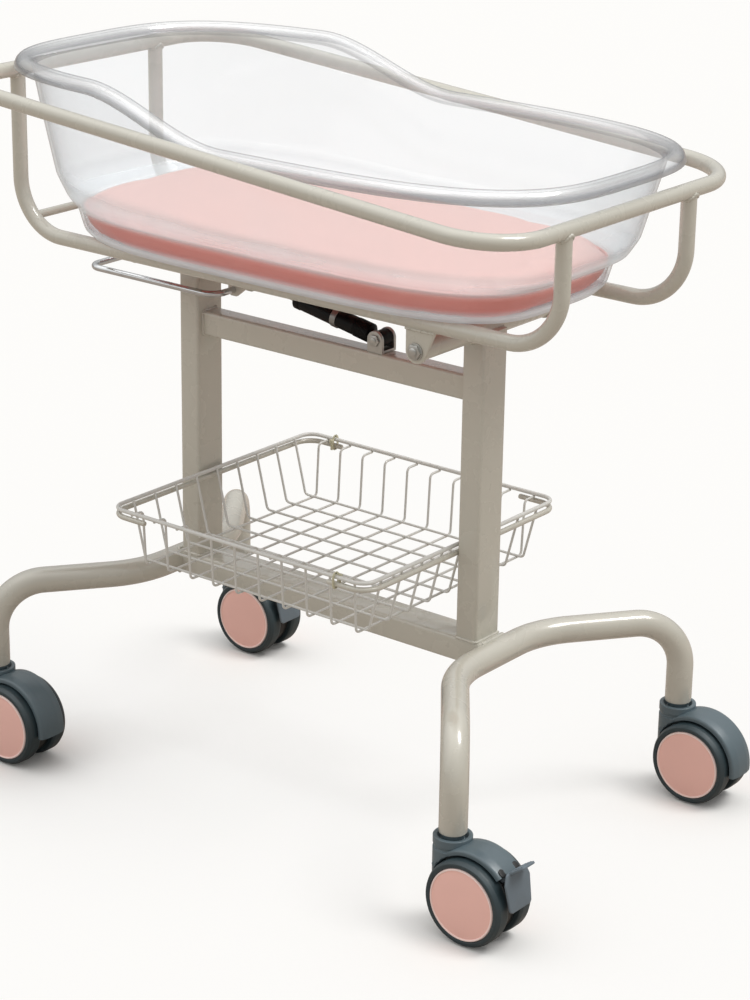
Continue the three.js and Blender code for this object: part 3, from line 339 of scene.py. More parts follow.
def plate(outline: Array, thickness: float, edge: float, centre: Sequence[float], across: Array, up: Array,
          steps: int = 4) -> Skin:
    """A plate with rounded edges: the outline at each depth is inset by a quarter round.

    Args:
        outline: the closed outline, counter-clockwise, as across and up.
        thickness: from face to face.
        edge: the radius along the edges.
        centre: the point that the outline counts from, midway through the plate.
        across: the outline's first direction.
        up: the outline's second direction.
        steps: how many rows make each rounded edge.

    Returns:
        The closed surface.
    """
    angle = np.linspace(0, math.pi / 2, steps)
    inset = edge * (1 - np.sin(angle))
    depth = thickness / 2 - edge * (1 - np.cos(angle))
    insets = np.concatenate([inset, inset[::-1]])
    depths = np.concatenate([-depth, depth[::-1]])
    flat = np.stack([inset_outline(outline, value) for value in insets])
    middle = np.broadcast_to(flat.mean(axis=(0, 1)), (1, len(outline), 2))
    flat = np.concatenate([middle, flat, middle])
    depths = np.concatenate([depths[:1], depths, depths[-1:]])
    normal = np.cross(across, up)
    rows = flat[..., :1] * across + flat[..., 1:] * up + depths[:, None, None] * normal
    return Skin.grid(rows + centre)


def ripple(count: int, depth: float, seed: int) -> Array:
    """A smooth uneven scale near 1 along a ring, as a sum of a few sine waves.

    Args:
        count: how many places the ring has.
        depth: how far the scale strays from 1.
        seed: fixes the waves' phases.

    Returns:
        A scale for each place.
    """
    place = np.linspace(0, 2 * math.pi, count, endpoint=False)
    phases = np.random.default_rng(seed).uniform(0, 2 * math.pi, 4)
    waves = np.array([5.0, 9.0, 14.0, 23.0])
    return 1 + depth * np.sin(waves[:, None] * place + phases[:, None]).mean(axis=0)


def weld(path: Array, radius: float, reference: Array, seed: int, closed: bool = True) -> Skin:
    """A weld bead: a thin rod along a joint whose thickness ripples."""
    return sweep(path, circle(radius, 10), reference, closed=closed, swell=ripple(len(path), 0.35, seed))


# Shaders


def linear(colour: Colour) -> tuple[float, float, float, float]:
    """An sRGB colour of 0 to 255 as the linear colour that shaders take."""
    value = np.asarray(colour, float) / 255
    return (*np.where(value <= 0.04045, value / 12.92, ((value + 0.055) / 1.055) ** 2.4).tolist(), 1.0)


class Field:
    """A value that varies over a surface: a node's output, on which arithmetic adds Math nodes."""

    def __init__(self, shader: "Shader", socket: bpy.types.NodeSocket) -> None:
        """Keeps the output socket and the shader that it belongs to."""
        self.shader = shader
        self.socket = socket

    def _math(self, operation: str, *values: Any) -> "Field":
        """Adds a Math node on these values."""
        return self.shader.node("ShaderNodeMath", {"operation": operation}, dict(enumerate(values)))

    def __add__(self, other: Any) -> "Field":
        """This value plus another."""
        return self._math("ADD", self, other)

    def __radd__(self, other: Any) -> "Field":
        """Another value plus this one."""
        return self._math("ADD", other, self)

    def __sub__(self, other: Any) -> "Field":
        """This value less another."""
        return self._math("SUBTRACT", self, other)

    def __rsub__(self, other: Any) -> "Field":
        """Another value less this one."""
        return self._math("SUBTRACT", other, self)

    def __mul__(self, other: Any) -> "Field":
        """This value times another."""
        return self._math("MULTIPLY", self, other)

    def __rmul__(self, other: Any) -> "Field":
        """Another value times this one."""
        return self._math("MULTIPLY", other, self)

    def __pow__(self, power: Any) -> "Field":
        """This value to a power."""
        return self._math("POWER", self, power)

    def most(self, other: Any) -> "Field":
        """The larger of this value and another."""
        return self._math("MAXIMUM", self, other)

    def least(self, other: Any) -> "Field":
        """The smaller of this value and another."""
        return self._math("MINIMUM", self, other)


class Shader:
    """A node tree under construction, with its output node."""

    def __init__(self, tree: bpy.types.NodeTree, output: str = "ShaderNodeOutputMaterial") -> None:
        """Empties the tree and adds its output.

        Args:
            tree: the tree to fill.
            output: the type of its output node.
        """
        self.tree = tree
        tree.nodes.clear()
        self.output = tree.nodes.new(output)

    def node(self, kind: str, settings: dict[str, Any] | None = None, sockets: dict[Any, Any] | None = None,
             output: str | int = 0) -> Field:
        """Adds a node.

        Args:
            kind: the node's type.
            settings: its properties, set first; "stops" are a ramp's places and colours.
            sockets: values or fields for its inputs, by name or number.
            output: the output that is returned.

        Returns:
            The chosen output.
        """
        made = self.tree.nodes.new(kind)
        for name, value in (settings or {}).items():
            if name != "stops":
                setattr(made, name, value)
                continue
            elements = made.color_ramp.elements
            while len(elements) < len(value):
                elements.new(1.0)
            for element, (place, colour) in zip(elements, value):
                element.position, element.color = place, colour
        for key, value in (sockets or {}).items():
            if isinstance(value, Field):
                self.tree.links.new(value.socket, made.inputs[key])
            else:
                made.inputs[key].default_value = value
        return Field(self, made.outputs[output])

    def place(self) -> Field:
        """Object coordinates, in metres."""
        return self.node("ShaderNodeTexCoord", output="Object")

    def noise(self, scale: float, detail: float = 3.0, stretch: Sequence[float] = (1, 1, 1)) -> Field:
        """Smooth noise from 0 to 1; scale is in features to the metre."""
        at = self.node("ShaderNodeMapping", sockets={"Vector": self.place(), "Scale": tuple(stretch)})
        return self.node("ShaderNodeTexNoise", sockets={"Vector": at, "Scale": scale, "Detail": detail})

    def attribute(self, name: str) -> Field:
        """A value kept on the mesh."""
        return self.node("ShaderNodeAttribute", {"attribute_name": name}, output="Fac")

    def ramp(self, value: Field, *stops: Pair) -> Field:
        """Maps a value by grey stops of place and level."""
        colours = [(place, (level, level, level, 1.0)) for place, level in stops]
        return self.node("ShaderNodeValToRGB", {"stops": colours}, {"Fac": value})

    def blend(self, share: Field, first: Any, second: Any) -> Field:
        """Mixes two colours, from the first at 0 to the second at 1."""
        return self.node("ShaderNodeMix", {"data_type": "RGBA"}, {0: share, 6: first, 7: second}, output=2)

    def bump(self, height: Field, strength: float, depth: float) -> Field:
        """A normal from a height; depth is in metres."""
        sockets = {"Height": height, "Strength": strength, "Distance": depth}
        return self.node("ShaderNodeBump", sockets=sockets)

    def principled(self, **sockets: Any) -> Field:
        """The standard surface; underscores in names stand for spaces."""
        named = {name.replace("_", " "): value for name, value in sockets.items()}
        return self.node("ShaderNodeBsdfPrincipled", sockets=named)

    def finish(self, surface: Field) -> None:
        """Links a surface to the output."""
        self.tree.links.new(surface.socket, self.output.inputs["Surface"])


# Finishes


@dataclass(frozen=True)
class Finish:
    """A surface finish: a colour, a roughness and the slot that it stands for."""

    name: str
    slot: Slot
    colour: Colour
    roughness: float

    def material(self) -> bpy.types.Material:
        """The finish as a material, made once.

        Returns:
            The material.
        """
        known = bpy.data.materials.get(self.name)
        if known:
            return known
        made = bpy.data.materials.new(self.name)
        made.use_nodes = True
        made.diffuse_color = linear(self.colour)
        self.shade(Shader(made.node_tree))
        return made

    def shade(self, shader: Shader) -> None:
        """Builds the node tree.

        Args:
            shader: the empty tree.
        """
        raise NotImplementedError

    def toned(self, shade: float) -> tuple[float, float, float, float]:
        """The colour times a shade, in linear light."""
        return (*(min(1.0, part * shade) for part in linear(self.colour)[:3]), 1.0)


@dataclass(frozen=True)
class Paint(Finish):
    """Baked paint on steel: an even tone, a faint orange peel and smudges in its gloss."""

    peel: float = 0.07
    coat: float = 0.25
    specular: float = 0.5

    def shade(self, shader: Shader) -> None:
        """Tone from broad noise, gloss from smudges, bump from fine noise.

        Args:
            shader: the empty tree.
        """
        broad = shader.noise(6.0)
        smudge = shader.noise(28.0, 5.0)
        peel = shader.noise(620.0, 1.0)
        tone = shader.blend(broad, self.toned(0.97), self.toned(1.03))
        rough = self.roughness - 0.07 + 0.16 * smudge
        shader.finish(shader.principled(
            Base_Color=tone, Roughness=rough, Coat_Weight=self.coat, Coat_Roughness=0.06,
            Specular_IOR_Level=self.specular, Normal=shader.bump(peel, self.peel, 0.0004)))


@dataclass(frozen=True)
class MouldedPlastic(Finish):
    """Moulded plastic: fine spark-eroded grain, flow marks, and another colour where tinted, painted shade on
    the caster body.
    """

    edge: Colour = (130, 140, 146)
    grain: float = 0.25
    flow: float = 0.1

    def shade(self, shader: Shader) -> None:
        """Tone from flow noise and the edge tint, bump from fine grain.

        Args:
            shader: the empty tree.
        """
        flow = shader.noise(18.0, 4.0)
        grain = shader.noise(2600.0, 2.0)
        tone = shader.blend(flow, self.toned(1 - self.flow), self.toned(1 + self.flow))
        # Tinted points take the edge colour: near-black painted shade on the caster's core and hinge slots.
        tone = shader.blend(shader.attribute("tint"), tone, linear(self.edge))
        rough = self.roughness + 0.16 * (flow - 0.5) + 0.06 * (grain - 0.5)
        shader.finish(shader.principled(
            Base_Color=tone, Roughness=rough, Normal=shader.bump(grain, self.grain, 0.00012)))


@dataclass(frozen=True)
class Rubber(Finish):
    """Dull rubber with dusty patches and fine scuffs."""

    dust: float = 1.35

    def shade(self, shader: Shader) -> None:
        """Tone from dusty patches, bump from scuffs.

        Args:
            shader: the empty tree.
        """
        dust = shader.ramp(shader.noise(34.0, 6.0), (0.42, 0.0), (0.75, 1.0))
        scuff = shader.noise(900.0, 4.0)
        tone = shader.blend(dust * 0.5, self.toned(0.95), self.toned(self.dust))
        rough = self.roughness + 0.12 * dust
        shader.finish(shader.principled(
            Base_Color=tone, Roughness=rough, Normal=shader.bump(scuff, 0.2, 0.0003)))


@dataclass(frozen=True)
class Metal(Finish):
    """Plated steel: drawn lines and dull spots in a bright skin."""

    lines: float = 0.12
    spots: float = 0.15

    def shade(self, shader: Shader) -> None:
        """Gloss from stretched noise and spots, tone from spots.

        Args:
            shader: the empty tree.
        """
        drawn = shader.noise(420.0, 3.0, (0.06, 1, 1))
        spot = shader.ramp(shader.noise(90.0, 4.0), (0.5, 0.0), (0.8, 1.0))
        tone = shader.blend(spot * 0.6, self.toned(1.0), self.toned(0.72))
        rough = self.roughness + self.lines * (drawn - 0.5) + self.spots * spot
        shader.finish(shader.principled(
            Base_Color=tone, Metallic=1.0, Roughness=rough, Normal=shader.bump(drawn, 0.08, 0.0002)))


@dataclass(frozen=True)
class ClearPlastic(Finish):
    """Clear moulded plastic: hazy in the walls with a painted glow, and painted shade edge-on and in lines
    along its lip.

    The tint is 0 in the well, FOLD_TINT in its rounds and the ledge, WALL_TINT in the walls, and runs from
    LIP_TINT to 1 across the lip.
    """

    FOLD_TINT: ClassVar[float] = 0.12
    WALL_TINT: ClassVar[float] = 0.3
    LIP_TINT: ClassVar[float] = 0.5
    # Painted shade lines across the lip: places in the tint and shares of the grey.
    LIP_LINES: ClassVar[Rows] = ((0.52, 0.32), (0.57, 0.0), (0.74, 0.0), (0.78, 0.1), (0.82, 0.0),
                                 (0.92, 0.02), (0.97, 0.1), (1.0, 0.6))

    # A grey that paints shade where the plastic is seen edge-on and along its lines; edge sets how much
    # edge-on.
    painted_shade_colour: Colour = (122, 125, 131)
    haze: float = 0.13
    edge: float = 0.85

    def shade(self, shader: Shader) -> None:
        """Mixes clear with glowing haze by zone, then a painted shade grey by facing and by lines, then gloss
        by facing.

        Args:
            shader: the empty tree.
        """
        facing = shader.node("ShaderNodeLayerWeight", sockets={"Blend": 0.5}, output="Facing")
        zone = shader.attribute("tint")
        fold, wall, lip = self.FOLD_TINT, self.WALL_TINT, self.LIP_TINT
        # Haze by zone; the rounds and the ledge take the most, a painted highlight along the bends.
        hazy = shader.ramp(zone, (0.0, 0.05), (fold, 1.0), (wall, 0.5), (lip - 0.02, 0.5), (lip, 0.2))
        rolled = shader.ramp(zone, (lip - 0.02, 0.0), (lip, 1.0))
        # Painted shade lines along the bends of the well and the ledge.
        low_lines = ((0.0, 0.0), (fold / 2, 0.1), (fold, 0.0), ((fold + wall) / 2, 0.06), (wall, 0.0))
        lines = shader.ramp(zone, *low_lines, (lip - 0.02, 0.0), *self.LIP_LINES)
        cloud = shader.noise(14.0, 4.0)
        # The haze's emission is a painted glow, standing in for light carried through the plastic.
        haze_and_glow = shader.principled(Base_Color=linear(self.colour), Roughness=0.4, Specular_IOR_Level=0.2,
                                 Emission_Color=linear(self.colour), Emission_Strength=0.3)
        # Painted shade: the grey surface mixed in edge-on and along the lines.
        dark = shader.principled(Base_Color=linear(self.painted_shade_colour), Roughness=0.3)
        clear = shader.node("ShaderNodeBsdfTransparent", sockets={"Color": (0.99, 0.994, 1.0, 1.0)})
        share = 2 * self.haze * hazy * (0.7 + 0.6 * cloud) * (0.8 + 1.8 * facing ** 2)
        inner = shader.node("ShaderNodeMixShader", sockets={0: share, 1: clear, 2: haze_and_glow})
        share = (self.edge * facing ** 4 * (0.62 + 0.38 * rolled) + lines).least(0.85)
        inner = shader.node("ShaderNodeMixShader", sockets={0: share, 1: inner, 2: dark})
        gloss = shader.node("ShaderNodeBsdfGlossy", sockets={
            "Color": (1.0, 1.0, 1.0, 1.0), "Roughness": self.roughness})
        shine = 0.035 + 0.12 * rolled + 0.4 * facing ** 5
        shader.finish(shader.node("ShaderNodeMixShader", sockets={0: shine, 1: inner, 2: gloss}))


@dataclass(frozen=True)
class CoverCloth(Finish):
    """Coated mattress cloth: a fine plain weave, soft creases and a deeper colour on the side band, painted
    shade.
    """

    # Painted shade: the side's deeper colour, fading out over the band of heights in metres.
    side: Colour = (231, 114, 101)
    band: Pair = (0.672, 0.692)
    threads: float = 900.0

    def shade(self, shader: Shader) -> None:
        """Bump from two crossed waves, tone from broad noise, the weave, and painted shade by height.

        Args:
            shader: the empty tree.
        """
        place = shader.place()
        bands = [shader.node("ShaderNodeTexWave", {"bands_direction": way, "wave_profile": "SIN"}, {
            "Vector": place, "Scale": self.threads / 3.2, "Distortion": 0.4}) for way in ("X", "Y")]
        weave = bands[0].most(bands[1])
        dye = shader.noise(9.0, 4.0)
        crease = shader.noise(16.0, 3.0, (0.5, 1, 1))
        # Painted shade: below the band the cloth takes the deeper side colour.
        height = shader.node("ShaderNodeSeparateXYZ", sockets={0: place}, output="Z")
        low, high = self.band
        above = shader.node("ShaderNodeMapRange", sockets={
            "Value": height, "From Min": low, "From Max": high})
        tone = shader.blend(above, linear(self.side), linear(self.colour))
        tone = shader.blend(0.3 * dye + 0.1 * weave, tone, self.toned(1.12))
        rough = self.roughness + 0.1 * (dye - 0.5)
        relief = 0.12 * weave + crease
        shader.finish(shader.principled(
            Base_Color=tone, Roughness=rough, Sheen_Weight=0.2, Sheen_Roughness=0.4,
            Normal=shader.bump(relief, 0.25, 0.002)))


FRAME_PAINT = Paint("frame paint", Slot.FRAME, (199, 196, 184), 0.26, coat=0.9)
WIRE_PAINT = Paint("wire coating", Slot.BASKET, (216, 216, 211), 0.36, peel=0.2, coat=0.3)
# Its edge colour is near-black painted shade, for the core between the wheels and the hinge slots.
CASTER_SLATE = MouldedPlastic("caster plastic", Slot.CASTER, (90, 105, 112), 0.36, edge=(12, 14, 15))
PEDAL_SLATE = MouldedPlastic("pedal plastic", Slot.CASTER, (105, 117, 126), 0.5, grain=0.5)
TREAD_SLATE = Rubber("tread rubber", Slot.TYRE, (44, 58, 63), 0.4)
COVER_PINK = MouldedPlastic("cover plastic", Slot.COVER, (251, 201, 190), 0.42, edge=(253, 228, 222),
                            grain=0.12, flow=0.04)
ZINC = Metal("zinc plate", Slot.STEEL, (190, 190, 186), 0.34)
BRIGHT_CHROME = Metal("chrome plate", Slot.CHROME, (206, 208, 210), 0.1, lines=0.06, spots=0.05)
SPRING_BLACK = Paint("spring black", Slot.SPRING, (8, 8, 8), 0.4, coat=0.0, specular=0.2)
SPRING_BAND = Metal("spring band", Slot.STEEL, (150, 150, 148), 0.42)
REST_RUBBER = Rubber("rest pad rubber", Slot.PAD, (30, 30, 31), 0.7)
TUB_PLASTIC = ClearPlastic("clear tub plastic", Slot.TUB, (233, 241, 246), 0.1)
MATTRESS_CLOTH = CoverCloth("mattress cloth", Slot.MATTRESS, (243, 199, 192), 0.62)
TIE_PLASTIC = MouldedPlastic("tie plastic", Slot.BASKET, (204, 200, 172), 0.45)


# Making pieces


class Maker:
    """Puts surfaces into the scene as pieces of the frame."""

    def __init__(self) -> None:
        """Finds where the places in this file count from."""
        low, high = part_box("base_beam")
        self.origin = np.array([(low.x + high.x) / 2, 0.0, 0.0])
        self.made: list[Object] = []

    def metres(self, points: Array) -> Array:
        """Places of this file, in the frame's metres."""
        return points * MM + self.origin

    def millimetres(self, points: Array) -> Array:
        """Points of a mesh in the part's own millimetres."""
        return (points - self.origin) / MM

    def mesh(self, name: str, skin: Skin, crease: float = 38.0) -> Object:
        """Makes an object of a surface, with doubles merged and faces outwards.

        Args:
            name: the object's name.
            skin: the surface.
            crease: degrees past which an edge stays sharp.

        Returns:
            The object, linked to the scene.
        """
        data = bpy.data.meshes.new(name)
        data.from_pydata(self.metres(skin.points).tolist(), [], skin.quads.tolist())
        tint = data.attributes.new("tint", "FLOAT", "POINT")
        tint.data.foreach_set("value", skin.tint.astype(np.float32))
        work = bmesh.new()
        work.from_mesh(data)
        bmesh.ops.remove_doubles(work, verts=work.verts, dist=2e-6)
        bmesh.ops.recalc_face_normals(work, faces=work.faces)
        work.to_mesh(data)
        work.free()
        data.shade_smooth()
        data.set_sharp_from_angle(angle=math.radians(crease))
        made = bpy.data.objects.new(name, data)
        bpy.context.scene.collection.objects.link(made)
        return made

    def piece(self, name: str, skins: Skin | Iterable[Skin], finish: Finish, body: str,
              nodes: Sequence[str] = (), crease: float = 38.0) -> Object:
        """Makes a piece, gives it its finish and lets it ride on a body.

        Args:
            name: the piece's name.
            skins: its surface, or the surfaces that are joined into it.
            finish: its finish.
            body: the body that it moves with.
            nodes: the nodes that it stands for.
            crease: degrees past which an edge stays sharp.

        Returns:
            The piece.
        """
        skin = skins if isinstance(skins, Skin) else Skin.joined(skins)
        return self.dress(self.mesh(name, skin, crease), finish, body, nodes)

    def dress(self, made: Object, finish: Finish, body: str,
              nodes: Sequence[str] = ()) -> Object:
        """Gives an object its finish, its body and the nodes that it stands for.

        Args:
            made: the object.
            finish: its finish.
            body: the body that it moves with.
            nodes: the nodes that it stands for.

        Returns:
            The same object, now a piece.
        """
        made.data.materials.clear()
        made.data.materials.append(finish.material())
        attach(made, body)
        if nodes:
            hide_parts(*nodes)
        self.made.append(made)
        LOG.info("%s: %d faces on %s", made.name, len(made.data.polygons), body)
        return made

    def paint_node(self, node: str, finish: Finish) -> None:
        """Gives a node that stays in view its finish.

        Args:
            node: the node's name.
            finish: its finish.
        """
        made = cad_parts[node]
        made.data.materials.clear()
        made.data.materials.append(finish.material())
        LOG.info("%s: node kept", node)


# Sub-assemblies


@dataclass
class Base:
    """The two leg tubes, the beams and the uprights."""

    leg_tube: float = 32.0
    leg_height: float = 220.0
    leg_foot: float = 115.0
    leg_bend: float = 60.0
    kink_bend: float = 120.0
    stem_x: float = 352.0
    stem_y: float = 226.0
    leg_middle_x: float = 242.0
    kink_y: float = 80.0
    beam: Pair = (45.0, 30.0)
    upright_x: float = 213.0
    upright: Pair = (30.0, 45.0)
    head_top: float = 620.4
    foot_top: float = 604.0
    upper_beam: Pair = (27.0, 30.0)
    upper_beam_top: float = 549.0
    corner: float = 4.0
    pivot_x: float = 208.0
    pivot_height: float = 604.0
    pivot_tube: float = 24.0
    pivot_end: float = 116.2
    pivot_bore: float = 10.6
    bore_depth: float = 30.0
    pad_thickness: float = 8.0
    pad_edge: float = 1.5
    seat_gap: float = 0.3
    end_round: float = 1.5
    beam_sunk: float = 4.0
    upper_sunk: float = 1.0
    bead: float = 2.2
    bead_proud: float = 0.4
    small_bead: float = 1.76
    body: str = "frame"

    def leg(self, end: End) -> Skin:
        """A leg tube: up from one caster, out along a kinked level run, and down to the other.

        Args:
            end: its end.

        Returns:
            The closed rod.
        """
        x, mid, z = end.value * self.stem_x, end.value * self.leg_middle_x, self.leg_height
        path = bent_path([(x, -self.stem_y, self.leg_foot), (x, -self.stem_y, z), (mid, -self.kink_y, z),
                          (mid, self.kink_y, z), (x, self.stem_y, z), (x, self.stem_y, self.leg_foot)],
                         [self.leg_bend, self.kink_bend, self.kink_bend, self.leg_bend], step=3.0)
        return tube(path, self.leg_tube, 48, X_AXIS, round_end=self.end_round)

    def level_bar(self, section: Array, reach: float, z: float) -> Skin:
        """A bar along X with a rounded box section."""
        return sweep(np.array([[-reach, 0, z], [reach, 0, z]]), section, Z_AXIS)

    def post(self, x: float, top: float) -> Skin:
        """An upright from the base beam to its top, with a rounded box section.

        Args:
            x: its place along the base.
            top: the height of its top.

        Returns:
            The closed bar.
        """
        foot = self.leg_height + self.beam[1] / 2
        section = rounded_rectangle(self.upright[1], self.upright[0], self.corner)
        return sweep(np.array([[x, 0, foot], [x, 0, top]]), section, X_AXIS, round_end=1.0)

    def leg_weld(self, end: End) -> Skin:
        """The bead where the base beam meets a leg tube: x = middle - sqrt(radius^2 - z^2).

        Args:
            end: its end.

        Returns:
            The bead.
        """
        outline = rounded_rectangle(*self.beam, self.corner, step=6.0)
        reach = np.sqrt((self.leg_tube / 2 + self.bead_proud) ** 2 - outline[:, 1] ** 2)
        x = end.value * (self.leg_middle_x - reach)
        path = columns(x, outline[:, 0], self.leg_height + outline[:, 1])
        return weld(path, self.bead, X_AXIS, 3 + end.value)

    def upright_weld(self, end: End) -> Skin:
        """The bead round an upright's foot.

        Args:
            end: its end.

        Returns:
            The bead.
        """
        outline = rounded_rectangle(*self.upright, self.corner, step=6.0)
        z = self.leg_height + self.beam[1] / 2 + self.seat_gap
        path = columns(end.value * self.upright_x + outline[:, 0], outline[:, 1], z)
        return weld(path, self.small_bead, Z_AXIS, 7 + end.value)

    def beam_weld(self, end: End) -> Skin:
        """The bead round an end of the upper beam.

        Args:
            end: its end.

        Returns:
            The bead.
        """
        outline = rounded_rectangle(*self.upper_beam, self.corner, step=6.0)
        x = end.value * (self.upright_x - self.upright[0] / 2 - self.seat_gap)
        z = self.upper_beam_top - self.upper_beam[1] / 2 + outline[:, 1]
        return weld(columns(x, outline[:, 0], z), self.small_bead, X_AXIS, 11 + end.value)

    def pivot(self) -> Skin:
        """The pivot tube across the foot upright's top, with bored ends.

        Returns:
            The turned tube.
        """
        bore, radius, end = self.pivot_bore / 2, self.pivot_tube / 2, self.pivot_end
        deep = end - self.bore_depth
        profile = rounded_profile([(bore, deep), (bore, end), (radius, end), (radius, -end), (bore, -end),
                                   (bore, -deep)], 1.2)
        return revolve(profile, (self.pivot_x, 0, self.pivot_height), Y_AXIS, 40)

    def pivot_weld(self, side: Side) -> Skin:
        """The bead under the pivot tube on a side of the upright: a half circle.

        Args:
            side: its side.

        Returns:
            The bead.
        """
        angle = np.linspace(math.pi, 2 * math.pi, 40)
        radius = self.pivot_tube / 2 + self.bead_proud
        path = columns(self.pivot_x + radius * np.cos(angle), side.value * (self.upright[1] / 2 + 0.2),
                       self.pivot_height + radius * np.sin(angle))
        return weld(path, self.small_bead, Y_AXIS, 15 + side.value, closed=False)

    def pad(self) -> Skin:
        """The rubber pad on the head upright, a rounded block.

        Returns:
            The closed block.
        """
        outline = rounded_rectangle(*self.upright, self.corner)
        centre = (-self.upright_x, 0, self.head_top + self.seat_gap + self.pad_thickness / 2)
        return plate(outline, self.pad_thickness, self.pad_edge, centre, X_AXIS, Y_AXIS)

    def build(self, maker: Maker) -> None:
        """Makes the base's pieces.

        Args:
            maker: makes the pieces.
        """
        base, upper = (rounded_rectangle(*size, self.corner) for size in (self.beam, self.upper_beam))
        upper_reach = self.upright_x - self.upright[0] / 2 + self.upper_sunk
        upper_middle = self.upper_beam_top - self.upper_beam[1] / 2
        rows = [(f"{end.name}_leg".lower(), self.leg(end), f"{end.name}_leg_tube".lower()) for end in End]
        rows += [("base_bar", self.level_bar(base, self.leg_middle_x - self.beam_sunk, self.leg_height),
                  "base_beam"),
                 ("upper_bar", self.level_bar(upper, upper_reach, upper_middle), "upper_beam"),
                 ("head_post", self.post(-self.upright_x, self.head_top), "head_upright"),
                 ("foot_post", self.post(self.upright_x, self.foot_top), "foot_upright"),
                 ("pivot_bar", self.pivot(), "pivot_tube")]
        for name, skin, node in rows:
            maker.piece(name, skin, FRAME_PAINT, self.body, [node])
        maker.piece("head_rest", self.pad(), REST_RUBBER, self.body, ["rest_pad"])
        welds = [make(end) for end in End for make in (self.leg_weld, self.upright_weld, self.beam_weld)]
        maker.piece("base_welds", welds + [self.pivot_weld(side) for side in Side], FRAME_PAINT, self.body)


